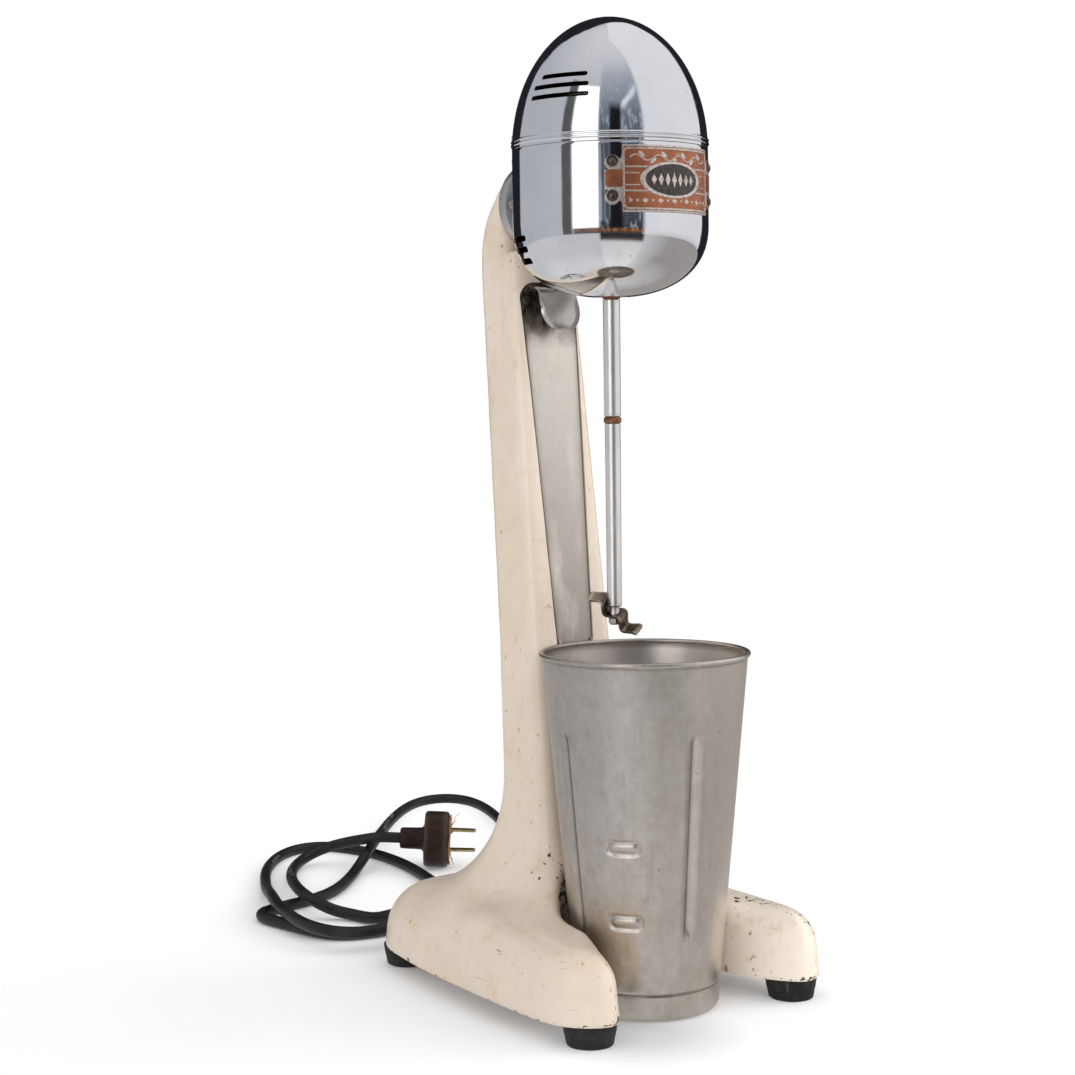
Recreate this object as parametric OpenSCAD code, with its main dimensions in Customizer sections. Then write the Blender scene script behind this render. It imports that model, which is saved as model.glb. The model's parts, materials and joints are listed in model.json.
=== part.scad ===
// Single-spindle drink mixer: enamelled cast stand, chromed motor head,
// hanging spindle with a wavy agitator, loose steel cup, cord and plug.
// Millimetres. Origin on the counter plane, on the spindle axis.
// +Z up, -Y towards the person using it, +X to the right seen from the front.

/* [Stand] */
// Backward lean of the column, mm back for each mm of height
lean = 0.113; // [0.110:0.001:0.116]
// Width of the column at its top
col_top_w = 42; // [40:0.5:44]
// Width of the column at cup-rest height
col_mid_w = 51; // [50:0.5:53]
// Depth of the column, front face to back
col_depth = 34.5; // [33.5:0.5:36]
// Half distance between the two front feet
foot_x_front = 63.7; // [62:0.1:66]
// Half distance between the two rear feet
foot_x_rear = 50; // [48:0.5:52]
// Distance of the front feet in front of the spindle axis
foot_y_front = 58.5; // [56:0.5:60]
// Distance of the rear feet behind the spindle axis
foot_y_rear = 115.6; // [113:0.1:117]
// Height of the rubber feet
foot_h = 11; // [10:0.5:11]

/* [Motor head] */
// Outer radius of the head
head_r = 49.3; // [49:0.1:49.6]
// Height of the seam between lower shell and cap
seam_z = 424; // [423.5:0.5:424.5]
// Height of the domed cap above the seam
dome_h = 67; // [66:0.5:69]
// Height of the rounded bottom of the lower shell
bowl_h = 37; // [36:0.5:38]
// Thickness of the pressed shells
shell_t = 1; // [0.8:0.1:1.1]
// Height of the three louvre slots
slot_h = 2.2; // [1.8:0.1:2.6]

/* [Spindle] */
// Radius of the motor shaft
shaft_r = 3; // [2.8:0.1:3]
// Radius of the upper spindle tube
tube_r = 4.35; // [4.2:0.05:4.5]
// Radius of the lower spindle rod
rod_r = 4; // [3.8:0.1:4.1]
// Length of the agitator strip
agit_len = 34; // [30:1:36]
// Width of the agitator strip
agit_w = 13; // [11:0.5:14]

/* [Cup] */
// Height of the cup
cup_h = 174.6; // [174:0.1:175]
// Radius of the cup at its bottom edge
cup_r_low = 34.6; // [34:0.1:35]
// Radius of the cup wall at its rim
cup_r_top = 51; // [50.5:0.1:51.2]
// Wall thickness of the cup
cup_t = 0.9; // [0.7:0.1:1.2]
// Distance of the cup's axis in front of the spindle axis
cup_y = 23.5; // [23.2:0.1:24.5]

/* [Cord] */
// Radius of the power cord
cord_r = 3.3; // [3:0.1:3.4]

/* [Hidden] */
lean_angle = atan(lean);
// Origin of the face frame, on the column's front face
face_y = 33.4;
face_z = 177;
// Level axis on which the head is fixed, and the pad on the column that carries it
mount_z = 400;
pad_y = 63.5;
wire_bore_r = 5;
// Height of the cord where it leaves the base
cord_exit_z = 20;

// Colours
cream = [0.88, 0.82, 0.71];
chrome = [0.80, 0.82, 0.85];
steel = [0.66, 0.66, 0.65];
cup_steel = [0.72, 0.72, 0.71];
flange_grey = [0.74, 0.74, 0.72];
fan_grey = [0.7, 0.7, 0.7];
bracket_grey = [0.6, 0.6, 0.6];
lamination_grey = [0.35, 0.36, 0.38];
lead_grey = [0.3, 0.3, 0.28];
felt_grey = [0.5, 0.47, 0.42];
dark = [0.12, 0.12, 0.13];
plug_brown = [0.16, 0.09, 0.07];
insulator_brown = [0.45, 0.28, 0.18];
switch_brown = [0.20, 0.12, 0.08];
ring_brown = [0.25, 0.2, 0.15];
collar_brown = [0.45, 0.25, 0.13];
agitator_brown = [0.42, 0.33, 0.22];
winding_red = [0.62, 0.30, 0.14];
plunger_red = [0.6, 0.2, 0.15];
brassy = [0.72, 0.58, 0.30];
copper = [0.72, 0.42, 0.24];

// ---- helpers -------------------------------------------------------

// Frame of the column's leaning front face:
// local y runs into the column, local z runs up along the face.
module on_face()
  translate([0, face_y, face_z]) rotate([-lean_angle, 0, 0]) children();

// A point given in the face frame, in the frame of the whole mixer.
function face_point(point) = [
  point[0],
  face_y + point[2] * sin(lean_angle) + point[1] * cos(lean_angle),
  face_z + point[2] * cos(lean_angle) - point[1] * sin(lean_angle)];

// Level cylinders from the local origin: towards +Y, -Y and +X.
module rod_back(radius, length) rotate([-90, 0, 0]) cylinder(r = radius, h = length);
module rod_front(radius, length) rotate([90, 0, 0]) cylinder(r = radius, h = length);
module rod_right(radius, length) rotate([0, 90, 0]) cylinder(r = radius, h = length);

// Box centred on x = 0, with its front at y and its bottom at z.
module mid_box(size, y, z) translate([-size[0] / 2, y, z]) cube(size);

// Children at the same distance left and right.
module at_sides(distance)
  for (side = [-1, 1]) translate([side * distance, 0, 0]) children();

// Children twice, half a turn apart about the spindle axis.
module half_turn_pair()
  for (turn = [0, 180]) rotate([0, 0, turn]) children();

function unit(v) = v / norm(v);
function perp(dir) = unit(cross(dir, abs(dir[2]) < 0.9 ? [0, 0, 1] : [1, 0, 0]));
function tangents(path) = [for (i = [0 : len(path) - 1])
  unit(path[min(i + 1, len(path) - 1)] - path[max(i - 1, 0)])];

// Normals along a path: each is the last one made square to the next tangent.
function carried(dirs, i, normal, done) = i >= len(dirs) ? done :
  let (next = unit(normal - (normal * dirs[i]) * dirs[i]))
    carried(dirs, i + 1, next, concat(done, [next]));

// Faces of a closed sweep: sections in a row, each of n points.
function sweep_faces(sections, n) = concat(
  [for (i = [0 : sections - 2]) for (k = [0 : n - 1])
    [i * n + k, (i + 1) * n + k, (i + 1) * n + (k + 1) % n, i * n + (k + 1) % n]],
  [[for (k = [0 : n - 1]) k]],
  [[for (k = [n - 1 : -1 : 0]) (sections - 1) * n + k]]);

// Round bar along a path of points, its section carried along without twist.
module bar(path, radius, sides = 8) {
  dirs = tangents(path);
  normals = carried(dirs, 0, perp(dirs[0]), []);
  points = [for (i = [0 : len(path) - 1]) for (k = [0 : sides - 1])
    path[i] + radius * (cos(360 * k / sides) * normals[i]
      + sin(360 * k / sides) * cross(dirs[i], normals[i]))];
  polyhedron(points, sweep_faces(len(path), sides), convexity = 12);
}

// Smooth cubic curve (B-spline) led by guide points, with a number of steps a span.
function smooth(guides, steps) =
  let (
    last = len(guides) - 1,
    q = concat([2 * guides[0] - guides[1]], guides, [2 * guides[last] - guides[last - 1]])
  )
  concat(
    [for (i = [1 : len(q) - 3]) for (j = [0 : steps - 1]) let (t = j / steps)
      ((1 - t) ^ 3 * q[i - 1] + (3 * t ^ 3 - 6 * t ^ 2 + 4) * q[i]
       + (-3 * t ^ 3 + 3 * t ^ 2 + 3 * t + 1) * q[i + 1] + t ^ 3 * q[i + 2]) / 6],
    [guides[last]]);

// Helix about a line along X through centre, from start_x beyond it.
function coil_x(start_x, length, turns, radius, centre, steps) = [for (i = [0 : steps])
  centre + [start_x + length * i / steps,
    radius * cos(360 * turns * i / steps), radius * sin(360 * turns * i / steps)]];

// Slotted screw: head upwards from local z = 0, shank downwards and a
// little way (overlap) into the head.
module slotted_screw(base_r, top_r, head_h, shank_r, depth, overlap, slot_z)
  difference() {
    union() {
      cylinder(r1 = base_r, r2 = top_r, h = head_h, $fn = 40);
      translate([0, 0, -depth]) cylinder(r = shank_r, h = depth + overlap, $fn = 32);
    }
    mid_box([8, 0.8, 2], -0.4, slot_z);
  }

// ---- fixing places shared by several pieces --------------------------

top_screw_x = 14.2;
top_screw_z = 174.6;
rest_screw_z = -17;
low_screw_z = -74;
flange_screw_x = 18.6;
head_screw_rise = 9.4; // above and below the mounting axis
cap_screw_zs = [419.6, 431.2]; // in the lower shell, in the cap
cap_screw_angle = 42; // either side of the back
through_screw_y = 36;

module at_feet() {
  at_sides(foot_x_front) translate([0, -foot_y_front, 0]) children();
  at_sides(foot_x_rear) translate([0, foot_y_rear, 0]) children();
}

// The next three are in the face frame.
module at_top_screws() at_sides(top_screw_x) translate([0, 0, top_screw_z]) children();
module at_strip_screws() {
  at_top_screws() children();
  for (z = [rest_screw_z, low_screw_z]) translate([0, 0, z]) children();
}
// Screw hole that starts at local y and runs forward.
module face_hole(y, radius, length)
  translate([0, y, 0]) rod_front(radius, length, $fn = 32);

module at_flange_screws(y)
  at_sides(flange_screw_x) translate([0, y, mount_z]) children();
module at_head_screws(y)
  for (side = [-1, 1]) translate([0, y, mount_z + side * head_screw_rise]) children();
module wire_bore(y, length)
  translate([0, y, mount_z]) rod_back(wire_bore_r, length, $fn = 48);

// Local +x points outwards from the spindle axis.
module at_cap_screws(height)
  for (side = [-1, 1]) rotate([0, 0, 90 + side * cap_screw_angle])
    translate([0, 0, height]) children();
module cap_screw_holes(height)
  at_cap_screws(height) translate([40, 0, 0]) rod_right(1.3, 16, $fn = 32);

module at_through_screws()
  for (side = [-1, 1]) translate([0, side * through_screw_y, 0]) children();

// ---- stand ---------------------------------------------------------

// Four thin upright discs that mark a rounded column section at height z on the face.
module col_section(z, width, depth, corner_r) {
  for (x = [-1, 1]) for (y = [-0.6 + corner_r, depth - corner_r])
    on_face() translate([x * (width / 2 - corner_r), y, z])
      cylinder(r = corner_r, h = 0.5, $fn = 24);
}

module column_blank() {
  hull() { // lower column
    col_section(-128, 57, 38, 9);
    col_section(-3, col_mid_w, col_depth, 9);
  }
  hull() { // upper column
    col_section(-3.5, col_mid_w, col_depth, 9);
    col_section(178, col_top_w, col_depth - 0.5, 8);
  }
  hull() { // rounded top with the pad that carries the head
    col_section(177.5, col_top_w, col_depth - 0.5, 8);
    translate([0, 63.6, mount_z]) rod_back(21, 3, $fn = 32);
    translate([-14, 70.5, 388]) rod_right(17.5, 28, $fn = 32);
  }
}

// Discs and balls that the base is hulled from.
module low_disc(x, y, radius)
  translate([x, y, foot_h]) cylinder(r = radius, h = 5, $fn = 32);
module ball(x, y, z, radius)
  translate([x, y, z]) sphere(r = radius, $fn = 24);

module leg_blank(side) {
  hull() {
    low_disc(side * (foot_x_front + 0.2), -foot_y_front + 3.5, 19.8);
    ball(side * (foot_x_front - 2), -foot_y_front + 5, 31, 14);
    low_disc(side * 52, 40, 26);
    ball(side * 30, 46, 44, 16);
  }
}

module rear_blank() {
  hull() for (side = [-1, 1]) {
    low_disc(side * (foot_x_rear + 2), foot_y_rear - 3.6, 17.5);
    ball(side * (foot_x_rear - 3), foot_y_rear - 8, 28, 13);
    low_disc(side * 58, 44, 20);
    ball(side * 34, 50, 40, 15);
    ball(side * 16, 98, 35, 15);
  }
}

// Flare from the base up into the column.
module flare_blank() {
  hull() for (side = [-1, 1]) {
    ball(side * 17, 56, 112, 8);
    ball(side * 24, 84, 44, 12);
    ball(side * 28, 40, 52, 12);
  }
}

// Plan of the space under the base, x and y, right half from back to front.
function inner_half(inset) = [
  [0, 121 - inset], [40, 121 - inset], [54 - inset, 116 - inset], [61 - inset, 104 - inset],
  [64 - inset, 60], [73 - inset, -5], [75.5 - inset, -50], [71 - inset, -63 + inset],
  [60, -65 + inset], [52 + inset, -58], [48 + inset, -44]];
// Right half, arc around the cup, then the left half from front to back.
function inner_plan(inset) = let (
    half = inner_half(inset),
    arc_r = 46.5 + inset
  )
  concat(half,
    [for (a = [-20 : 10 : 200]) [arc_r * cos(a), -cup_y + arc_r * sin(a)]],
    [for (k = [len(half) - 1 : -1 : 1]) [-half[k][0], half[k][1]]]);

// Guide strip: it widens upwards and its top corners are round.
strip_low = -84;
strip_corner_r = 8;
strip_corner_z = 175.5;
function strip_half_w(z) = 11.5 + (17.4 - 11.5) * z / 178;
// Outline of the strip in the face plane, with a clearance around it.
function strip_outline(gap) = let (corner_x = strip_half_w(176) - strip_corner_r)
  concat(
    [[-strip_half_w(strip_low) - gap, strip_low - gap],
     [strip_half_w(strip_low) + gap, strip_low - gap]],
    [for (k = [0, 1]) for (a = [90 * k : 15 : 90 * k + 90])
      [(1 - 2 * k) * corner_x + (strip_corner_r + gap) * cos(a),
       strip_corner_z + (strip_corner_r + gap) * sin(a)]]);

// Child outline in the face plane, from local y front to y back.
module slab(front, back)
  translate([0, back, 0]) rotate([90, 0, 0]) linear_extrude(back - front) children();

// Hollow base with its foot bosses left standing, and the recess for the base plate.
module base_hollow() {
  difference() {
    translate([0, 0, foot_h - 1]) linear_extrude(16) polygon(inner_plan(3));
    at_feet() cylinder(r = 8.5, h = 60, $fn = 48);
  }
  translate([0, 0, foot_h - 1]) linear_extrude(2.6) polygon(inner_plan(-0.3));
}

// Hollow column, open into the base.
module column_hollow() {
  on_face() mid_box([25.6, 20, 354], 7, -158);
  mid_box([26.8, 6, 13], 23, foot_h + 1.4);
  on_face() mid_box([18, 8, 43], 7, 190);
}

// Cuts in the front face of the column.
module face_cuts() on_face() {
  slab(-2, 1.25) polygon(strip_outline(0.35)); // channel for the guide strip
  mid_box([34.4, 2.5, 13.9], 0, 167.4); // pocket for the hook's tab
  mid_box([8.4, 12, 7], -2, 179.9); // slot for the trip lever
  at_strip_screws() face_hole(8, 1.45, 9);
}

module stand_casting() {
  color(cream) difference() {
    union() {
      column_blank();
      for (side = [-1, 1]) leg_blank(side);
      rear_blank();
      flare_blank();
    }
    // room for the cup between the legs
    translate([0, -cup_y, foot_h - 1]) cylinder(r1 = 39, r2 = 44.6, h = 56, $fn = 96);
    // everything below the base, and everything in front of the head pad
    mid_box([240, 300, 20 + foot_h], -120, -20);
    mid_box([80, pad_y - 30, 80], 30, 376.2);
    base_hollow();
    column_hollow();
    wire_bore(60, 10);
    at_flange_screws(60) rod_back(1.85, 11.6, $fn = 32);
    face_cuts();
    // foot screw holes
    at_feet() translate([0, 0, foot_h - 1]) cylinder(r = 2.05, h = 15, $fn = 32);
    // cord entry at the back
    translate([0, 112, cord_exit_z]) rod_back(6.5, 30, $fn = 48);
  }
}

module base_plate() {
  color(steel) difference() {
    translate([0, 0, foot_h + 0.2]) linear_extrude(1.2) polygon(inner_plan(0));
    at_feet() cylinder(r = 2.6, h = 30, $fn = 32);
  }
}

module rubber_feet() {
  top_z = foot_h - 0.2;
  color(dark) at_feet() difference() {
    rotate_extrude($fn = 64) polygon([
      [0, 0], [10.6, 0], [11.3, 0.7], [12.9, foot_h - 1.2], [12.9, top_z], [0, top_z]]);
    translate([0, 0, -1]) cylinder(r = 4.2, h = 5.5, $fn = 48);
    cylinder(r = 2.3, h = 30, $fn = 32);
  }
}

module foot_screws() {
  color(steel) at_feet() difference() {
    union() {
      translate([0, 0, 2.4]) cylinder(r = 3.7, h = 2.1, $fn = 40);
      translate([0, 0, 4]) cylinder(r = 2, h = 18, $fn = 32);
    }
    mid_box([10, 1, 1.3], -0.5, 1.9);
  }
}

module guide_strip() {
  color(steel) on_face() difference() {
    slab(0, 1.2) polygon(strip_outline(0));
    mid_box([24.2, 6, 2.0], -2, 179.3); // for the hook's shelf
    mid_box([8.4, 6, 8], -2, 179.3); // for the trip lever
    at_strip_screws() face_hole(3, 1.5, 6);
  }
}

// Slotted screw in the face frame: head forward from local y, shank into the column.
module face_screw(y, depth) {
  difference() {
    union() {
      translate([0, y, 0]) rotate([90, 0, 0]) cylinder(r1 = 2.5, r2 = 2, h = 1.1, $fn = 40);
      translate([0, y + depth, 0]) rod_front(1.4, depth, $fn = 32);
    }
    rotate([0, 35, 0]) mid_box([8, 1.5, 0.7], y - 2, -0.35);
  }
}

module strip_screws() {
  color(steel) on_face() {
    at_top_screws() face_screw(0, 6.5);
    translate([0, 0, rest_screw_z]) face_screw(-1, 7.5);
    translate([0, 0, low_screw_z]) face_screw(0, 6.5);
  }
}

hook_w = 23.6;
hook_bend_z = 176.1;
module cup_hook() {
  color(steel) on_face() difference() {
    union() {
      mid_box([33.6, 1.1, 12.9], 1.3, 168); // tab behind the strip
      mid_box([hook_w, 8.4, 1.2], -6, 179.7); // shelf through the strip
      intersection() { // rounded bend
        translate([-hook_w / 2, -6, hook_bend_z]) rotate([0, 90, 0]) difference() {
          cylinder(r = 4.8, h = hook_w, $fn = 48);
          translate([0, 0, -1]) cylinder(r = 3.6, h = 30, $fn = 48);
        }
        mid_box([40, 6, 6], -12, hook_bend_z);
      }
      slab(-10.8, -9.6) union() { // hanging tongue
        translate([-hook_w / 2, 168]) square([hook_w, 8.1]);
        translate([0, 168]) scale([1.18, 0.96]) circle(r = 10, $fn = 64);
      }
    }
    mid_box([7.6, 13.4, 12], -14, 172.5);
    at_top_screws() face_hole(4, 1.5, 6);
  }
}

rest_w = 21.8;
rest_ear_t = 1.1;
module cup_rest() {
  color(steel) on_face() difference() {
    union() {
      mid_box([rest_w, 0.95, 15], -1, -24); // plate
      mid_box([rest_w, 3.55, 1.2], -3.6, -10.3); // ledge
      // ears at both ends of the ledge
      for (right_edge = [-rest_w / 2 + rest_ear_t, rest_w / 2])
        translate([right_edge, -0.05, -9.6]) rotate([0, -90, 0])
          linear_extrude(rest_ear_t)
            polygon([[0, 0], [0, -3.4], [1.5, -3.4], [8, -0.8], [8, 0]]);
    }
    translate([0, 0, rest_screw_z]) face_hole(3, 1.5, 6);
  }
}

// ---- cord, plug and wiring ------------------------------------------

// Guide points of the cord, x, y, z: out of the base, one turn round behind it,
// a second wide turn, then back to the plug.
cord_way = [
  [0, 104, 20], [0, 116, 20], [0, 131, 20], [0, 140, 19.9], [-7, 149, 16],
  [-24, 152, 11.5], [-44, 149, 10.2], [-60, 150, 10.2], [-70, 162, 10.2], [-73, 182, 10.2],
  [-69.3, 206, 10.2], [-62, 234, 10.3], [-54.5, 252, 10.5], [-46, 271, 8.6], [-34, 296, 4.6],
  [-21, 320, 3.3], [-8, 343, 3.3], [11, 367, 3.3], [29, 382.5, 3.3], [45, 389, 3.3],
  [60, 385, 3.3], [68.5, 369, 3.3], [73.4, 346, 3.3], [73, 322, 3.3], [69.4, 296, 3.3],
  [63, 271, 3.3], [54, 240, 3.3], [36, 206, 3.3], [12, 184, 3.3], [-12, 173, 3.3],
  [-30, 171, 3.3], [-44, 172.5, 3.3], [-56, 179, 3.3], [-62, 192, 3.3], [-64.5, 207, 3.3],
  [-67, 224, 3.3], [-69, 239, 3.3], [-64.5, 249.5, 3.3], [-54, 252.5, 3.3], [-40, 256.5, 3.3],
  [-27, 258.5, 3.3], [-14, 263, 3.3], [2, 273, 3.3], [21.7, 291.8, 3.3], [37.7, 309.3, 3.6],
  [47.3, 317.6, 6.5], [52.7, 320.2, 10.4], [64.8, 333.3, 11.4], [85.7, 360.2, 9.5],
  [116.2, 399.4, 5], [128, 415, 3.3], [160, 449, 3.3], [192, 475, 3.3], [218, 476, 3.3],
  [226, 452, 3.3], [214, 412, 3.3], [196, 372, 3.3], [168, 318, 3.3], [134, 262, 3.3],
  [98, 212, 4], [62, 178, 10], [30, 165, 12], [4, 169, 12], [-10, 178, 10.2],
  [-19, 190, 5], [-21.9, 198.7, 3.3], [-24.9, 213.3, 3.3], [-29.8, 220.6, 4.4],
  [-35.4, 223.5, 7], [-38.8, 228.8, 9.4], [-38.1, 240.2, 10.4], [-33.9, 256.3, 10.4],
  [-23.2, 281.6, 8.5], [-6.7, 314.1, 5], [10.1, 339.8, 3.5], [23.1, 351.9, 4.4],
  [33, 355, 6.8], [41.3, 352.6, 9.8], [46, 345.4, 12.6], [49.7, 335.6, 15.6],
  [52.8, 326.1, 18], [60.59, 319.31, 19.76], [66.25, 315.2, 19.41],
  [70.69, 311.97, 19.15], [75.14, 308.74, 18.88]];
cord_end = [77.56, 306.98, 18.73]; // inside the plug

module power_cord() {
  color(dark) bar(concat(smooth(cord_way, 2), [cord_end]), cord_r, 10);
}

// Frame of the plug: its axis lies along local +X, centred on the head.
module plug_frame() translate([91.3, 297, 17.9]) rotate([0, 2.8, -36]) children();
// The two prongs lie above and below the plug's axis.
module at_prongs() for (side = [-1, 1]) translate([0, 0, side * 6.35]) children();

module plug_body() {
  color(plug_brown) plug_frame() difference() {
    rotate([0, 90, 0]) rotate_extrude($fn = 64) polygon([
      [0, -24], [5.6, -24], [6.6, -23], [6.8, -10.5], [8, -9],
      [16.4, -8.4], [17.4, -7.2], [17.4, 5.8], [16.6, 7], [0, 7]]);
    translate([-30, 0, 0]) rod_right(cord_r + 0.25, 15.6, $fn = 48);
    at_prongs() translate([-4, -3.4, -0.85]) cube([20, 6.8, 1.7]);
  }
}

module plug_insulator() {
  color(insulator_brown) plug_frame() difference() {
    translate([7.1, 0, 0]) rod_right(15, 0.7, $fn = 64);
    at_prongs() translate([4, -3.5, -0.95]) cube([20, 7, 1.9]);
  }
}

module plug_prongs() {
  color(brassy) plug_frame() at_prongs() difference() {
    translate([-3.8, -3.15, -0.75]) cube([28, 6.3, 1.5]);
    translate([21.5, 0, -3]) cylinder(r = 1.3, h = 6, $fn = 32);
  }
}

module cord_grommet() {
  bore_r = cord_r + 0.6;
  color(dark) translate([0, 0, cord_exit_z]) rotate([-90, 0, 0]) rotate_extrude($fn = 64)
    polygon([[bore_r, 117], [6.4, 117], [6.4, 130.3], [8.6, 130.3], [8.2, 132.8],
      [bore_r, 132.8]]);
}

module cord_clamp() {
  color(steel) difference() {
    mid_box([18, 6, 12.4], 104.5, foot_h + 1.5);
    translate([0, 90, cord_exit_z]) rod_back(cord_r + 0.25, 30, $fn = 48);
  }
}

// Guide points of the right-hand leads, x, y, z; the left-hand ones mirror them.
// Cord to switch: first through the base, then up the column in the face frame.
lead_in_base = [[2, 103, 20], [2, 92, 19], [2.2, 76, 18], [2.5, 55, 19], [3, 37, 22]];
lead_in_column = [[4, 17, -130], [5, 15.5, -100], [5, 15, -40], [5, 15, 40], [5, 15, 100],
  [5, 15, 138]];
// Switch to motor: first up the column in the face frame, then forward into the head.
lead_past_switch = [[2.5, 25.2, 146], [2.5, 25.2, 160], [2.5, 25.2, 176], [2.5, 25.2, 187],
  [2.4, 22, 192], [2.2, 13.5, 193.5], [2, 12.5, 200], [2, 12, 208], [2, 12, 214]];
lead_into_head = [[2, 69, 397.5], [2, 66, 400.4], [2, 58, 400], [2, 50, 400], [2, 44.8, 402],
  [2, 43, 410]];

function on_side(points, side) = [for (p = points) [side * p[0], p[1], p[2]]];
function from_face(points) = [for (p = points) face_point(p)];

module wire_leads() {
  color(lead_grey) for (side = [-1, 1]) {
    bar(smooth(on_side(concat(lead_in_base, from_face(lead_in_column)), side), 2), 1.2, 8);
    bar(smooth(on_side(concat(from_face(lead_past_switch), lead_into_head), side), 2), 1.2, 8);
  }
}

// ---- cup-operated switch ----------------------------------------------

// Places in the face frame
pivot_y = 11;
pivot_z = 183;
plunger_y = 19;
plunger_r = 1.5;
terminal_x = 5;

// Cylinder about the lever's pivot line, centred on the column.
module pivot_rod(radius, length, sides = 40)
  translate([-length / 2, pivot_y, pivot_z]) rod_right(radius, length, $fn = sides);

module switch_bracket() {
  color(steel) on_face() difference() {
    union() {
      mid_box([23.2, 15, 1.2], 8.5, 148); // floor
      for (x = [-11.6, 10.4]) translate([x, 8.5, 148]) cube([1.2, 15, 39]); // cheeks
      mid_box([23.2, 1.2, 36], 22.3, 148); // back
    }
    pivot_rod(1.53, 28);
    at_sides(terminal_x) translate([0, 15, 140]) cylinder(r = 2.4, h = 12, $fn = 32);
  }
}

module switch_body() {
  color(switch_brown) on_face() difference() {
    mid_box([20.4, 12.6, 24], 9.5, 149.3);
    translate([0, plunger_y, 162]) cylinder(r = plunger_r + 0.06, h = 20, $fn = 40);
    at_sides(terminal_x) mid_box([3.2, 1.2, 8], 14.4, 148);
  }
}

module switch_terminals() {
  color(brassy) on_face() at_sides(terminal_x) mid_box([3, 1, 15.8], 14.5, 139.6);
}

module lever_pin() {
  color(steel) on_face() pivot_rod(1.5, 24.4);
}

module lever_spring() {
  centre = face_point([0, pivot_y, pivot_z]);
  path = coil_x(start_x = 4.2, length = 5, turns = 5, radius = 2.35, centre = centre, steps = 60);
  color(steel) bar(path, 0.35, 6);
}

module trip_lever() {
  color(dark) on_face() difference() {
    union() {
      pivot_rod(3, 6.4, 48);
      mid_box([6, 27.9, 2.3], -7.4, 181.8); // arm
      mid_box([6, 2.2, 14], -7.4, 168.9); // tongue in front of the column
    }
    pivot_rod(1.55, 28);
  }
}

module switch_plunger() {
  color(plunger_red) on_face() translate([0, plunger_y, 163])
    cylinder(r = plunger_r, h = 18.6, $fn = 40);
}

// ---- head mounting ------------------------------------------------------

flange_y = 57.6; // front face of the flange's wide disc

module mounting_flange() {
  color(flange_grey) difference() {
    union() {
      translate([0, 40, mount_z]) rod_back(14, 18, $fn = 72);
      translate([0, flange_y, mount_z]) rod_back(23.6, pad_y - flange_y, $fn = 96);
    }
    translate([0, 0, 340]) cylinder(r = head_r + 0.05, h = 120, $fn = 180);
    wire_bore(30, 40);
    at_flange_screws(50) rod_back(1.9, 20, $fn = 32);
    at_head_screws(40) rod_back(1.55, 17, $fn = 32);
  }
}

module flange_screws() {
  color(steel) at_flange_screws(flange_y) rotate([90, 0, 0])
    slotted_screw(base_r = 3, top_r = 2.4, head_h = 1.5,
      shank_r = 1.8, depth = 13.5, overlap = 0.5, slot_z = 0.8);
}

module head_screws() {
  color(steel) at_head_screws(48.1) rotate([90, 0, 0])
    slotted_screw(base_r = 2.8, top_r = 2.8, head_h = 1.7,
      shank_r = 1.5, depth = 8.15, overlap = 0.85, slot_z = 0.95);
}

// ---- head shells --------------------------------------------------------

shell_side_h = 37; // upright part of the lower shell
bowl_power = 2.35; // sets how square the shoulder of the bowl is
bowl_angles = concat([for (a = [0 : 6 : 84]) a], [88.6]);
cap_lift = 0.15; // gap at the seam

// Points of the rounded bottom and of the dome at an angle from their widest place.
function bowl(radius, height, angle) = [
  radius * pow(cos(angle), 2 / bowl_power),
  seam_z - shell_side_h - height * pow(sin(angle), 2 / bowl_power)];
function dome(radius, height, angle) =
  [radius * cos(angle), seam_z + height * sin(angle) + cap_lift];

// Louvre slots: height, then middle and half width in degrees from the front.
shell_louvres = [[379, 124, 26], [373.6, 124, 26], [368, 124, 26]];
cap_louvres = [[457.6, 71, 18.5], [452.5, 72.6, 21], [447.4, 72.6, 21.6]];

// Curved slot cutters on the left and right side, outwards from inner_r.
module louvre_cuts(slots, inner_r)
  for (slot = slots) for (m = [0, 1]) mirror([m, 0, 0])
    rotate([0, 0, 270 - slot[1] - slot[2]]) rotate_extrude(angle = 2 * slot[2], $fn = 120)
      translate([inner_r, slot[0] - slot_h / 2]) square([14, slot_h]);

module lower_shell() {
  inner_r = head_r - shell_t;
  color(chrome) difference() {
    rotate_extrude($fn = 180) polygon(concat(
      [[head_r, seam_z]],
      [for (a = bowl_angles) bowl(head_r, bowl_h, a)],
      [for (k = [len(bowl_angles) - 1 : -1 : 0])
        bowl(inner_r, bowl_h - shell_t, bowl_angles[k])],
      [[inner_r, seam_z]]));
    translate([0, 0, 340]) cylinder(r = 8, h = 20, $fn = 64); // shaft opening
    louvre_cuts(shell_louvres, 38);
    wire_bore(40, 20);
    at_head_screws(40) rod_back(1.6, 20, $fn = 32);
    plate_rivet_holes();
    cap_screw_holes(cap_screw_zs[0]);
  }
}

module upper_cap() {
  color(chrome) difference() {
    union() {
      rotate_extrude($fn = 180) polygon(concat(
        [for (a = [0 : 5 : 90]) dome(head_r, dome_h, a)],
        [for (a = [90 : -5 : 0]) dome(head_r - shell_t, dome_h - shell_t, a)]));
      for (z = [426.4, 428.2]) // two beads above the seam
        rotate_extrude($fn = 180) translate([head_r - 0.15, z]) circle(r = 0.7, $fn = 24);
    }
    louvre_cuts(cap_louvres, 34);
    cap_screw_holes(cap_screw_zs[1]);
  }
}

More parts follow.
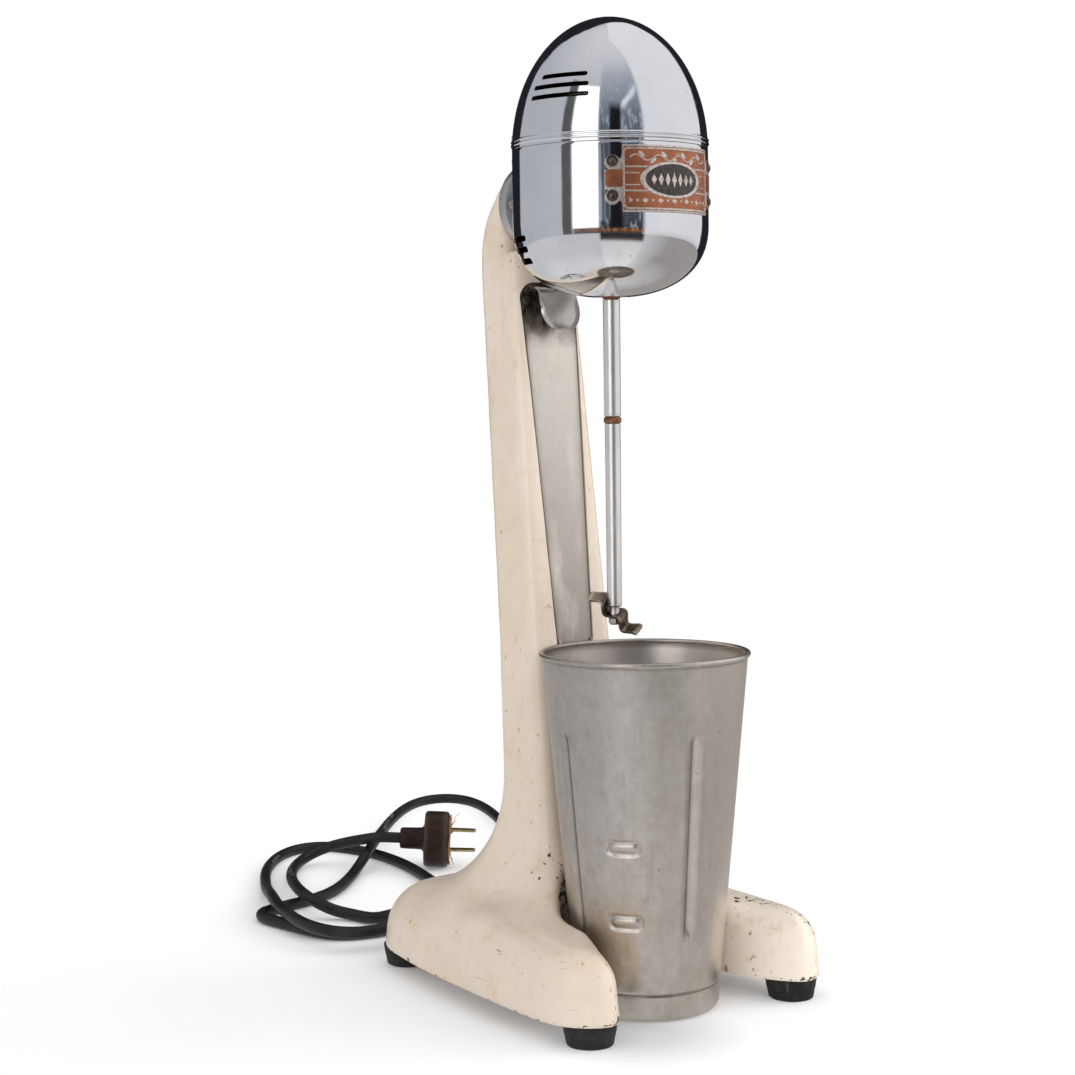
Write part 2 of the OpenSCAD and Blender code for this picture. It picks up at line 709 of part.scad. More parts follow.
module cap_screws() {
  color(steel) for (z = cap_screw_zs) at_cap_screws(z) difference() {
    union() {
      translate([44.4, 0, 0]) rod_right(1.25, head_r - 44, $fn = 32);
      translate([head_r + 0.06, 0, 0]) rotate([0, 90, 0])
        cylinder(r1 = 2.2, r2 = 1.7, h = 0.9, $fn = 40);
    }
    translate([head_r + 0.5, -3, -0.3]) cube([2, 6, 0.6]);
  }
}

plate_half_angle = 41.6;
plate_low_z = 389.5;
plate_h = 32.5;
rivet_half_angle = 37.3;
rivet_zs = [396.6, 413.4];

// Local +z points outwards from the spindle axis.
module at_plate_rivets()
  for (z = rivet_zs) for (side = [-1, 1]) rotate([0, 0, -90 + side * rivet_half_angle])
    translate([0, 0, z]) rotate([0, 90, 0]) children();
module plate_rivet_holes()
  at_plate_rivets() translate([0, 0, 40]) cylinder(r = 0.95, h = 16, $fn = 32);

module nameplate() {
  color(copper) difference() {
    rotate([0, 0, -90 - plate_half_angle])
      rotate_extrude(angle = 2 * plate_half_angle, $fn = 180)
        translate([head_r + 0.04, plate_low_z]) square([0.8, plate_h]);
    plate_rivet_holes();
  }
}

module nameplate_rivets() {
  color(steel) at_plate_rivets() {
    translate([0, 0, head_r - 1.7]) cylinder(r = 0.9, h = 3, $fn = 32);
    translate([0, 0, head_r + 0.9]) cylinder(r1 = 1.7, r2 = 0.9, h = 0.9, $fn = 32);
  }
}

// ---- motor --------------------------------------------------------------

brush_z = 425.5;
brush_w = 5;
// The stator and armature cores share one stack height.
core_low_z = 382;
core_h = 26;

module motor_frame_ring() {
  color(ring_brown) difference() {
    union() {
      translate([0, 0, 416.6]) cylinder(r = 48.1, h = 7.3, $fn = 120);
      translate([0, 0, 416.6]) cylinder(r = 47.1, h = 19.4, $fn = 120);
    }
    translate([0, 0, 410]) cylinder(r = 45.2, h = 30, $fn = 120);
    half_turn_pair() translate([40, 0, brush_z]) rod_right(5.25, 12, $fn = 48);
    for (z = cap_screw_zs) cap_screw_holes(z);
  }
}

// Hub for a bearing, flat arm front to back, and a post around each through screw.
module bearing_bracket(hub_r, hub_z, hub_h, arm_r, arm_z, arm_h, post_z, post_h, hole_z)
  color(bracket_grey) difference() {
    union() {
      translate([0, 0, hub_z]) cylinder(r = hub_r, h = hub_h, $fn = 64);
      intersection() {
        mid_box([14, 100, arm_h], -50, arm_z);
        translate([0, 0, arm_z - 8]) cylinder(r = arm_r, h = 20, $fn = 120);
      }
      at_through_screws() translate([0, 0, post_z]) cylinder(r = 4.4, h = post_h, $fn = 48);
    }
    cylinder(r = 5.6, h = 600, $fn = 48);
    at_through_screws() translate([0, 0, hole_z]) cylinder(r = 2, h = 60, $fn = 32);
  }

module upper_bracket()
  bearing_bracket(hub_r = 9.5, hub_z = 436.1, hub_h = 10.4, arm_r = 45.8, arm_z = 438,
    arm_h = 4, post_z = 408.1, post_h = 31, hole_z = 400);

module lower_bracket()
  bearing_bracket(hub_r = 10.5, hub_z = 358, hub_h = 17, arm_r = 43, arm_z = 370,
    arm_h = 5, post_z = 371, post_h = 10.9, hole_z = 350);

module through_screws() {
  color(steel) at_through_screws() difference() {
    union() {
      translate([0, 0, 366.5]) cylinder(r = 1.95, h = 77, $fn = 32);
      translate([0, 0, 442.1]) cylinder(r = 3.4, h = 2.2, $fn = 40); // head
      translate([0, 0, 366.6]) cylinder(r = 3.4, h = 3.3, $fn = 6); // nut
    }
    mid_box([8, 0.8, 2], -0.4, 443.3);
  }
}

module bush(low_z, high_z) difference() {
  translate([0, 0, low_z]) cylinder(r = 5.57, h = high_z - low_z, $fn = 64);
  translate([0, 0, low_z - 1]) cylinder(r = shaft_r + 0.04, h = high_z - low_z + 2, $fn = 64);
}
module upper_bearing() color(brassy) bush(436.4, 446.2);
module lower_bearing() color(brassy) bush(358.2, 374.8);

module oil_felt() {
  color(felt_grey) difference() {
    translate([0, 0, 446.7]) cylinder(r = 8.4, h = 1.5, $fn = 64);
    cylinder(r = shaft_r + 0.3, h = 600, $fn = 48);
  }
}

module field_laminations() {
  color(lamination_grey) difference() {
    translate([0, 0, core_low_z]) cylinder(r = 41, h = core_h, $fn = 120);
    translate([0, 0, 380]) cylinder(r = 18.4, h = 30, $fn = 96);
    // windows for the coils, either side of each pole
    half_turn_pair() for (side = [-1, 1]) rotate([0, 0, side * 46 - 5])
      rotate_extrude(angle = 10, $fn = 96) translate([21, 380]) square([10.5, 30]);
    at_through_screws() translate([0, 0, 370]) cylinder(r = 2.1, h = 60, $fn = 32);
  }
}

// Curved block centred on +X: half its angle, then its radial and upright section.
module curved_block(half_angle, inner_r, low_z, section)
  rotate([0, 0, -half_angle]) rotate_extrude(angle = 2 * half_angle, $fn = 96)
    translate([inner_r, low_z]) square(section);

module field_coils() {
  color(winding_red) half_turn_pair() difference() {
    curved_block(50.2, 21.6, 377.4, [9.2, 35.2]);
    curved_block(41.8, 19, 381.7, [14, 26.6]);
  }
}

module brush_holders() {
  color(brassy) half_turn_pair() difference() {
    translate([13.2, 0, brush_z]) rod_right(5.2, 33.6, $fn = 48);
    translate([12, -2.6, brush_z - 2.6]) cube([32, 5.2, 5.2]);
  }
}

module carbon_brushes() {
  color(dark) half_turn_pair() difference() {
    translate([9, -brush_w / 2, brush_z - brush_w / 2]) cube([15, brush_w, brush_w]);
    translate([0, 0, 410]) cylinder(r = 10.55, h = 30, $fn = 96);
  }
}

module brush_springs() {
  path = coil_x(start_x = 24.5, length = 19, turns = 7, radius = 1.9,
    centre = [0, 0, brush_z], steps = 84);
  color(steel) half_turn_pair() bar(path, 0.3, 6);
}

// ---- turning parts ------------------------------------------------------

module motor_shaft() color(steel) translate([0, 0, 338]) cylinder(r = shaft_r, h = 123, $fn = 64);

// Ring that fits the motor shaft.
module on_shaft(low_z, high_z, radius) difference() {
  translate([0, 0, low_z]) cylinder(r = radius, h = high_z - low_z, $fn = 96);
  translate([0, 0, low_z - 1]) cylinder(r = shaft_r + 0.01, h = high_z - low_z + 2, $fn = 64);
}

module armature_core() {
  color(lamination_grey) difference() {
    on_shaft(core_low_z, core_low_z + core_h, 17.8);
    for (a = [0 : 30 : 330])
      rotate([0, 0, a]) translate([9.5, -1.1, 380]) cube([10, 2.2, 30]);
  }
}

module armature_windings() {
  color(winding_red) {
    on_shaft(376.6, 381.9, 15);
    on_shaft(408.1, 415.5, 15);
  }
}

module commutator() {
  color(copper) difference() {
    on_shaft(416.5, 433, 10.5);
    for (a = [0 : 15 : 345])
      rotate([0, 0, a]) translate([9.7, -0.2, 418]) cube([2, 0.4, 20]);
  }
}

module cooling_fan() {
  color(fan_grey) difference() {
    union() {
      on_shaft(449, 456.5, 6); // hub
      on_shaft(449, 450.2, 30); // disc
      for (a = [0 : 36 : 324]) // blades
        rotate([0, 0, a]) translate([5, -0.5, 449.5]) cube([24.5, 1, 6.5]);
    }
    translate([0, 0, 440]) cylinder(r = shaft_r + 0.01, h = 40, $fn = 64);
  }
}

module thrust_washer() color(steel) on_shaft(353.4, 357.9, 6);

module spindle_collar() color(collar_brown) on_shaft(347.2, 352.6, 5.6);

joint_stud_r = 2.6; // upper stud of the rod, in the tube
tip_stud_r = 2.5; // lower stud of the rod, through the agitator

module spindle_tube() {
  color(steel) difference() {
    translate([0, 0, 290]) cylinder(r1 = tube_r - 0.1, r2 = tube_r, h = 57.1, $fn = 64);
    translate([0, 0, 337.8]) cylinder(r = shaft_r + 0.01, h = 20, $fn = 64);
    translate([0, 0, 280]) cylinder(r = joint_stud_r + 0.01, h = 19.6, $fn = 48);
  }
}

module spindle_joint_ring() {
  color(collar_brown) difference() {
    translate([0, 0, 287]) cylinder(r = 4.45, h = 2.9, $fn = 64);
    translate([0, 0, 280]) cylinder(r = joint_stud_r + 0.01, h = 20, $fn = 48);
  }
}

module spindle_rod() {
  color(steel) {
    translate([0, 0, 197.6]) cylinder(r1 = rod_r - 0.2, r2 = rod_r, h = 89.3, $fn = 64);
    translate([0, 0, 286]) cylinder(r = joint_stud_r, h = 13, $fn = 48);
    translate([0, 0, 181.6]) cylinder(r = tip_stud_r, h = 17, $fn = 48);
  }
}

// Wavy pressed strip, hung slantwise across the end of the spindle.
agit_centre = [0, 0, 191.3];
agit_half_t = 0.55;
agit_steps = 26;
// Directions along the strip, roughly across it, square to it and exactly across it
agit_along = unit([0.803, -0.596, -0.93]);
agit_slant = unit(cross([0, 0, 1], agit_along) * 0.80 + [0, 0, 0.32]
  + 0.32 * [0.803, -0.596, 0]);
agit_normal = unit(cross(agit_along, agit_slant));
agit_across = cross(agit_normal, agit_along);
function wave(along) = 2.3 * sin(360 * 2.6 * along / agit_len);

module agitator() {
  // corners of each section: [half widths across, half thicknesses up]
  corners = [[-1, 1], [1, 1], [1, -1], [-1, -1]];
  points = [for (i = [0 : agit_steps])
    let (along = -agit_len / 2 + agit_len * i / agit_steps)
    for (c = corners)
      agit_centre + agit_along * along + agit_across * (c[0] * agit_w / 2)
      + agit_normal * (wave(along) + c[1] * agit_half_t)];
  color(agitator_brown) difference() {
    polyhedron(points, sweep_faces(agit_steps + 1, 4), convexity = 8);
    translate([0, 0, 170]) cylinder(r = tip_stud_r + 0.06, h = 40, $fn = 48);
    translate([0, 0, 197.5]) cylinder(r = rod_r + 0.05, h = 12, $fn = 48);
  }
}

module agitator_nut() {
  color(steel) difference() {
    translate([0, 0, 182]) cylinder(r = 3.6, h = 2.9, $fn = 6);
    translate([0, 0, 180]) cylinder(r = tip_stud_r + 0.01, h = 8, $fn = 48);
  }
}

// ---- cup ----------------------------------------------------------------

cup_corner_r = 4.5;
cup_floor_z = 1.6; // raised middle of the bottom
groove_depth = 0.35;
rim_r = 1.25; // section of the rolled rim

function cup_r(z) = cup_r_low + (cup_r_top - cup_r_low) * z / (cup_h - 2);
function wall_point(z, inset) = [cup_r(z) - inset, z];
function corner_points(radius, angles) = [for (a = angles)
  [cup_r(cup_corner_r) - cup_corner_r + radius * cos(a), cup_corner_r + radius * sin(a)]];

module malt_cup() {
  corner_x = cup_r(0) - cup_corner_r;
  color(cup_steel) translate([0, -cup_y, 0]) rotate_extrude($fn = 144) {
    polygon(concat(
      // outside, from the middle of the bottom up to the rim
      [[0, cup_floor_z], [26, cup_floor_z], [28.5, 0], [corner_x, 0]],
      corner_points(cup_corner_r, [-60 : 30 : 0]),
      [wall_point(12.6, 0), wall_point(13.5, groove_depth), wall_point(14.4, 0)],
      [[cup_r_top, cup_h - 2], [cup_r_top - cup_t, cup_h - 1.6]],
      // inside, back down
      [wall_point(14.4, cup_t), wall_point(13.5, cup_t + groove_depth),
       wall_point(12.6, cup_t)],
      corner_points(cup_corner_r - cup_t, [0 : -30 : -60]),
      [[corner_x, cup_t], [28.7, cup_t], [26.2, cup_floor_z + cup_t],
       [0, cup_floor_z + cup_t]]));
    translate([cup_r_top + 0.2, cup_h - rim_r]) circle(r = rim_r, $fn = 32);
  }
}

stand_casting();
base_plate();
rubber_feet();
foot_screws();
guide_strip();
strip_screws();
cup_hook();
cup_rest();
cord_grommet();
cord_clamp();
power_cord();
plug_body();
plug_insulator();
plug_prongs();
wire_leads();
switch_bracket();
switch_body();
switch_terminals();
lever_pin();
lever_spring();
mounting_flange();
flange_screws();
head_screws();
lower_shell();
upper_cap();
cap_screws();
nameplate();
nameplate_rivets();
motor_frame_ring();
upper_bracket();
lower_bracket();
through_screws();
upper_bearing();
lower_bearing();
oil_felt();
field_laminations();
field_coils();
brush_holders();
carbon_brushes();
brush_springs();
motor_shaft();
armature_core();
armature_windings();
commutator();
cooling_fan();
thrust_washer();
spindle_collar();
spindle_tube();
spindle_joint_ring();
spindle_rod();
agitator();
agitator_nut();
trip_lever();
switch_plunger();
malt_cup();
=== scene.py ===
import json
import math
import bmesh
import bpy
import numpy as np
from mathutils import Matrix, Vector

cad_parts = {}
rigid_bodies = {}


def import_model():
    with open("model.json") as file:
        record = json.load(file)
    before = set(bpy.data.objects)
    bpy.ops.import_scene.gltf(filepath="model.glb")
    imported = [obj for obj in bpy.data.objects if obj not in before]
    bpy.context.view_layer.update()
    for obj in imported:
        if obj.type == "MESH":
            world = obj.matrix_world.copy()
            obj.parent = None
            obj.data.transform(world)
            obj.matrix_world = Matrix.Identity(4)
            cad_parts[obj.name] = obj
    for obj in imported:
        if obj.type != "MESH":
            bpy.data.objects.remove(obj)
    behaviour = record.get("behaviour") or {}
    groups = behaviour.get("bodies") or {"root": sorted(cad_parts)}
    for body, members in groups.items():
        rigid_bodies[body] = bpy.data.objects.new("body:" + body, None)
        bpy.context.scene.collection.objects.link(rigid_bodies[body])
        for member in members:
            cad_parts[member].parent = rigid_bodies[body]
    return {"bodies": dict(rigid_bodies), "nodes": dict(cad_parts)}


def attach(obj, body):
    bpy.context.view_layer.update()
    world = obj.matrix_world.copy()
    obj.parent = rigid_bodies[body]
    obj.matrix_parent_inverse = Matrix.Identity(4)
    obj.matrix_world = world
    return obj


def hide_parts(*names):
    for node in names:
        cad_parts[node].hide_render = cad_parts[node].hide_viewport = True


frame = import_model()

N = frame["nodes"]
scene = bpy.context.scene
kept = set(o.name for o in list(N.values()) + list(frame["bodies"].values()))
for o in list(bpy.data.objects):
    if o.name not in kept:
        bpy.data.objects.remove(o)
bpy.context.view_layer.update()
rng = np.random.default_rng(7)

# ---------------------------------------------------------------- materials


class Mat:
    """Small helper for building one node material. P is the position in millimetres."""

    def __init__(self, name):
        self.mat = bpy.data.materials.new(name)
        self.mat.use_nodes = True
        self.nt = self.mat.node_tree
        self.nt.nodes.clear()
        self.out = self.nt.nodes.new("ShaderNodeOutputMaterial")
        self.b = self.nt.nodes.new("ShaderNodeBsdfPrincipled")
        self.nt.links.new(self.b.outputs[0], self.out.inputs[0])
        tc = self.nt.nodes.new("ShaderNodeTexCoord")
        self.P = self.scale(tc.outputs["Object"], (1000, 1000, 1000))

    def put(self, sock, val):
        if hasattr(val, "links"):
            self.nt.links.new(val, sock)
        elif isinstance(val, (tuple, list)) and len(val) == 3 and sock.type == "RGBA":
            sock.default_value = (*val, 1)
        else:
            sock.default_value = val

    def scale(self, vec, s, loc=(0, 0, 0), rot=(0, 0, 0)):
        n = self.nt.nodes.new("ShaderNodeMapping")
        self.nt.links.new(vec, n.inputs[0])
        n.inputs["Scale"].default_value = s
        n.inputs["Location"].default_value = loc
        n.inputs["Rotation"].default_value = rot
        return n.outputs[0]

    def noise(self, scale, detail=4, rough=0.5, vec=None, dist=0.0):
        n = self.nt.nodes.new("ShaderNodeTexNoise")
        self.nt.links.new(vec if vec is not None else self.P, n.inputs["Vector"])
        n.inputs["Scale"].default_value = scale
        n.inputs["Detail"].default_value = detail
        n.inputs["Roughness"].default_value = rough
        n.inputs["Distortion"].default_value = dist
        return n.outputs[0]

    def voro(self, scale, vec=None, feature="F1", rand=1.0):
        n = self.nt.nodes.new("ShaderNodeTexVoronoi")
        n.feature = feature
        self.nt.links.new(vec if vec is not None else self.P, n.inputs["Vector"])
        n.inputs["Scale"].default_value = scale
        n.inputs["Randomness"].default_value = rand
        return n.outputs[0]

    def ramp(self, fac, stops, interp="LINEAR"):
        n = self.nt.nodes.new("ShaderNodeValToRGB")
        n.color_ramp.interpolation = interp
        self.put(n.inputs[0], fac)
        e = n.color_ramp.elements
        while len(e) < len(stops):
            e.new(0.5)
        for k, (p, c) in enumerate(stops):
            e[k].position = p
            if not isinstance(c, (tuple, list)):
                c = (c, c, c)
            e[k].color = (*c, 1)
        return n.outputs[0]

    def math(self, op, a, b=0.0, clamp=False):
        n = self.nt.nodes.new("ShaderNodeMath")
        n.operation = op
        n.use_clamp = clamp
        self.put(n.inputs[0], a)
        self.put(n.inputs[1], b)
        return n.outputs[0]

    def mix(self, fac, a, b, blend="MIX"):
        n = self.nt.nodes.new("ShaderNodeMix")
        n.data_type = "RGBA"
        n.blend_type = blend
        self.put(n.inputs[0], fac)
        self.put(n.inputs[6], a)
        self.put(n.inputs[7], b)
        return n.outputs[2]

    def bump(self, height, strength=0.3, dist=0.1, normal=None):
        n = self.nt.nodes.new("ShaderNodeBump")
        n.inputs["Strength"].default_value = strength
        n.inputs["Distance"].default_value = dist * 0.001
        self.put(n.inputs["Height"], height)
        if normal is not None:
            self.put(n.inputs["Normal"], normal)
        return n.outputs[0]

    def attr(self, name, color=False):
        n = self.nt.nodes.new("ShaderNodeAttribute")
        n.attribute_name = name
        return n.outputs["Color" if color else "Fac"]

    def xyz(self, vec=None):
        n = self.nt.nodes.new("ShaderNodeSeparateXYZ")
        self.nt.links.new(vec if vec is not None else self.P, n.inputs[0])
        return n.outputs

    def set(self, **kw):
        names = {"color": "Base Color", "metal": "Metallic", "rough": "Roughness", "normal": "Normal",
                 "coat": "Coat Weight", "coat_rough": "Coat Roughness", "spec": "Specular IOR Level",
                 "aniso": "Anisotropic", "emit": "Emission Color", "emit_s": "Emission Strength"}
        for k, v in kw.items():
            self.put(self.b.inputs[names[k]], v)
        return self.mat


def step(m, val, a, b):
    """0 below a, 1 above b."""
    n = m.nt.nodes.new("ShaderNodeMapRange")
    n.clamp = True
    m.put(n.inputs[0], val)
    n.inputs[1].default_value = a
    n.inputs[2].default_value = b
    n.inputs[3].default_value = 0
    n.inputs[4].default_value = 1
    return n.outputs[0]


def mat_enamel():
    m = Mat("cream_enamel")
    z = m.xyz()[2]
    big = m.noise(0.018, 3, 0.55)
    mid = m.noise(0.07, 4, 0.6)
    col = m.mix(step(m, big, 0.35, 0.68), (0.735, 0.640, 0.545), (0.690, 0.575, 0.455))
    col = m.mix(m.math("MULTIPLY", step(m, mid, 0.5, 0.75), 0.45), col, (0.640, 0.520, 0.390))
    low = m.math("SUBTRACT", 1.0, step(m, z, 20, 120))
    col = m.mix(m.math("MULTIPLY", low, 0.30), col, (0.640, 0.525, 0.400))
    # painted light: the leg on the camera's right is made lighter, standing in for the light that falls on it
    px = m.xyz()[0]
    painted_light_right_leg = m.math("MULTIPLY", step(m, px, 24, 44), m.math("SUBTRACT", 1.0, step(m, z, 46, 62)))
    col = m.mix(m.math("MULTIPLY", painted_light_right_leg, 0.60), col, (0.95, 0.86, 0.74))
    # faint drips and stains running down
    run = m.noise(0.16, 3, 0.6, m.scale(m.P, (1, 1, 0.10)))
    col = m.mix(m.math("MULTIPLY", step(m, run, 0.60, 0.80), 0.22), col, (0.50, 0.37, 0.24))
    # yellowing blotches
    blot = m.noise(0.11, 5, 0.65, m.scale(m.P, (1, 1, 0.8), (31, 7, 3)))
    col = m.mix(m.math("MULTIPLY", step(m, blot, 0.56, 0.72), 0.48), col, (0.60, 0.43, 0.26))
    # little rust and dirt specks
    sp = m.noise(0.34, 2, 0.4, m.scale(m.P, (1, 1, 0.8), (3, 17, 9)))
    gate = step(m, m.noise(0.030, 2, 0.5, m.scale(m.P, (1, 1, 1), (9, 1, 4))), 0.46, 0.64)
    spk = m.math("MULTIPLY", step(m, sp, 0.705, 0.745), gate)
    col = m.mix(m.math("MULTIPLY", spk, 0.85), col, (0.235, 0.115, 0.045))
    fine = m.noise(0.95, 2, 0.5, m.scale(m.P, (1, 1, 1), (5, 2, 8)))
    col = m.mix(m.math("MULTIPLY", step(m, fine, 0.715, 0.76), 0.5), col, (0.36, 0.23, 0.13))
    halo2 = m.math("MULTIPLY", step(m, sp, 0.60, 0.70), gate)
    col = m.mix(m.math("MULTIPLY", halo2, 0.30), col, (0.62, 0.41, 0.22))
    # long thin scuffs low on the sides
    scf = m.noise(0.55, 2, 0.5, m.scale(m.P, (0.10, 0.10, 1.6), (7, 3, 2)))
    scg = m.math("MULTIPLY", step(m, z, 16, 22), m.math("SUBTRACT", 1.0, step(m, z, 34, 46)))
    scg = m.math("MULTIPLY", scg, step(m, m.noise(0.05, 2, 0.5, m.scale(m.P, (1, 1, 1), (4, 4, 4))), 0.50, 0.58))
    scuff = m.math("MULTIPLY", step(m, scf, 0.68, 0.70), scg)
    col = m.mix(m.math("MULTIPLY", scuff, 0.75), col, (0.30, 0.20, 0.12))
    # chips, dense where the wear attribute is high
    wear = m.attr("wear")
    cn = m.noise(0.27, 3, 0.55, m.scale(m.P, (1, 1, 1), (11, 3, 5)))
    lim = m.math("SUBTRACT", cn, m.math("SUBTRACT", 0.86, m.math("MULTIPLY", wear, 0.36)))
    chip = step(m, lim, 0.0, 0.012)
    halo = step(m, lim, -0.030, 0.0)
    col = m.mix(m.math("MULTIPLY", halo, 0.55), col, (0.52, 0.38, 0.22))
    chipc = m.ramp(m.noise(0.6, 3, 0.6), [(0.35, (0.030, 0.026, 0.022)), (0.55, (0.075, 0.055, 0.040)), (0.72, (0.20, 0.12, 0.06))])
    col = m.mix(chip, col, chipc)
    rough = m.math("ADD", 0.27, m.math("MULTIPLY", mid, 0.16))
    rough = m.mix(chip, rough, (0.7, 0.7, 0.7))
    peel = m.noise(0.20, 2, 0.4)
    peel2 = m.noise(0.045, 2, 0.4)
    n1 = m.bump(peel2, 0.30, 1.6)
    n2 = m.bump(peel, 0.18, 0.30, n1)
    n3 = m.bump(m.math("SUBTRACT", 1.0, m.math("MAXIMUM", chip, m.math("MULTIPLY", spk, 0.5))), 0.9, 0.28, n2)
    return m.set(color=col, rough=rough, normal=n3, coat=0.25, coat_rough=0.12, spec=0.5)


def mat_chrome(name="mirror_chrome"):
    m = Mat(name)
    sm = m.noise(0.035, 4, 0.6)
    mot = m.noise(0.16, 5, 0.65, m.scale(m.P, (1, 1, 1), (3, 9, 1)))
    pit = m.noise(0.62, 2, 0.5, m.scale(m.P, (1, 1, 1), (8, 2, 5)))
    z = m.xyz()[2]
    low = m.math("SUBTRACT", 1.0, step(m, z, 352, 392))
    lim = m.math("SUBTRACT", pit, m.math("SUBTRACT", 0.785, m.math("MULTIPLY", low, 0.065)))
    pits = step(m, lim, 0.0, 0.02)
    col = m.mix(step(m, sm, 0.35, 0.7), (0.86, 0.87, 0.89), (0.78, 0.79, 0.82))
    col = m.mix(m.math("MULTIPLY", step(m, mot, 0.60, 0.78), m.math("ADD", 0.10, m.math("MULTIPLY", low, 0.35))), col, (0.42, 0.36, 0.31))
    col = m.mix(m.math("MULTIPLY", pits, 0.85), col, (0.10, 0.07, 0.05))
    sc = m.noise(1.0, 2, 0.5, m.scale(m.P, (0.25, 0.25, 3.0)))
    rough = m.math("ADD", 0.035, m.math("MULTIPLY", step(m, mot, 0.45, 0.8), 0.10))
    rough = m.math("ADD", rough, m.math("MULTIPLY", step(m, sc, 0.62, 0.8), 0.05))
    rough = m.math("ADD", rough, m.math("MULTIPLY", pits, 0.4))
    wav = m.noise(0.030, 2, 0.4)
    n1 = m.bump(wav, 0.12, 1.2)
    n2 = m.bump(m.noise(0.13, 3, 0.5), 0.10, 0.10, n1)
    n3 = m.bump(m.math("SUBTRACT", 1.0, pits), 0.5, 0.1, n2)
    return m.set(color=col, metal=1.0, rough=rough, normal=n3)


def brushed(name, base, dark, axis, scale, rough0=0.24, roughv=0.16, stain=0.5, specks=0.6, bumpn=0.25, shade=None):
    """Brushed sheet metal; axis is the noise scale that draws the brushing into lines."""
    m = Mat(name)
    br = m.noise(scale, 3, 0.6, m.scale(m.P, axis))
    br2 = m.noise(scale * 2.3, 2, 0.5, m.scale(m.P, axis, (4, 8, 2)))
    cl = m.noise(0.030, 4, 0.6, m.scale(m.P, (1, 1, 1), (5, 1, 2)))
    cl2 = m.noise(0.10, 5, 0.65, m.scale(m.P, (1, 1, 0.7), (2, 6, 1)))
    pit = m.noise(0.42, 3, 0.5, m.scale(m.P, (1, 1, 1), (1, 4, 6)))
    col = m.mix(step(m, br, 0.3, 0.7), base, tuple(c * 0.86 for c in base))
    col = m.mix(m.math("MULTIPLY", step(m, cl, 0.42, 0.72), stain), col, dark)
    col = m.mix(m.math("MULTIPLY", step(m, cl2, 0.56, 0.74), stain * 0.6), col, tuple(c * 0.8 for c in dark))
    p = step(m, pit, 0.735, 0.775)
    col = m.mix(m.math("MULTIPLY", p, specks), col, (0.16, 0.11, 0.07))
    if shade is not None:
        col = shade(m, col)
    rough = m.math("ADD", rough0, m.math("MULTIPLY", br2, roughv))
    rough = m.math("ADD", rough, m.math("MULTIPLY", step(m, cl2, 0.5, 0.8), 0.12))
    n1 = m.bump(m.math("ADD", br, m.math("MULTIPLY", br2, 0.6)), bumpn, 0.05)
    n2 = m.bump(m.noise(0.05, 3, 0.5), 0.10, 0.8, n1)
    n3 = m.bump(m.math("SUBTRACT", 1.0, p), 0.5, 0.10, n2)
    return m.set(color=col, metal=1.0, rough=rough, normal=n3)


RV_ = (0.803, -0.596)


def mat_cup():
    def shade(m, col):
        x, y, z = m.xyz()
        low = m.math("SUBTRACT", 1.0, step(m, z, 12, 80))
        tarn = m.noise(0.055, 5, 0.6, m.scale(m.P, (1, 1, 0.6), (7, 3, 1)))
        k = m.math("MULTIPLY", m.math("MULTIPLY", step(m, tarn, 0.48, 0.70), low), 0.55)
        col = m.mix(k, col, (0.42, 0.31, 0.19))
        mo = m.noise(0.20, 6, 0.70, m.scale(m.P, (1, 1, 0.8), (5, 9, 4)))
        col = m.mix(m.math("MULTIPLY", step(m, mo, 0.50, 0.68), 0.34), col, (0.36, 0.31, 0.26))
        col = m.mix(m.math("MULTIPLY", m.math("SUBTRACT", 1.0, step(m, mo, 0.34, 0.46)), 0.26), col, (0.80, 0.76, 0.71))
        st = m.noise(0.16, 4, 0.6, m.scale(m.P, (1, 1, 0.12), (2, 2, 7)))
        col = m.mix(m.math("MULTIPLY", step(m, st, 0.58, 0.72), 0.30), col, (0.33, 0.28, 0.23))
        # painted light and shade across the cup as seen from the camera: darker on the left, lighter on the right
        xs, ys = m.math("MULTIPLY", x, RV_[0]), m.math("MULTIPLY", m.math("ADD", y, 23.5), RV_[1])
        side = m.math("ADD", xs, ys)
        col = m.mix(m.math("MULTIPLY", m.math("SUBTRACT", 1.0, step(m, side, -40, -14)), 0.34), col, (0.30, 0.27, 0.24))
        col = m.mix(m.math("MULTIPLY", step(m, side, 14, 40), 0.70), col, (0.90, 0.84, 0.77))
        # painted darker reflection band just right of the middle
        band = m.math("MULTIPLY", step(m, side, -4, 6), m.math("SUBTRACT", 1.0, step(m, side, 12, 24)))
        col = m.mix(m.math("MULTIPLY", band, 0.30), col, (0.40, 0.36, 0.32))
        rust = step(m, m.noise(0.34, 3, 0.6, m.scale(m.P, (1, 1, 1), (13, 5, 3))), 0.715, 0.75)
        col = m.mix(m.math("MULTIPLY", rust, 0.75), col, (0.26, 0.12, 0.05))
        # painted light: the inside wall is made lighter where the cup's own shade would darken it
        col = m.mix(m.math("MULTIPLY", m.attr("inner"), 0.55), col, (0.98, 0.92, 0.85))
        # painted shade from the attribute: the groove, the bottom edge, under the rim and the flute lines
        return m.mix(m.attr("painted_shade_and_grime"), col, (0.10, 0.085, 0.07))
    return brushed("cup_steel", (0.625, 0.585, 0.54), (0.47, 0.425, 0.375), (0.12, 0.12, 8.0), 0.42, 0.28, 0.13, 0.60, 0.65, 0.14, shade)


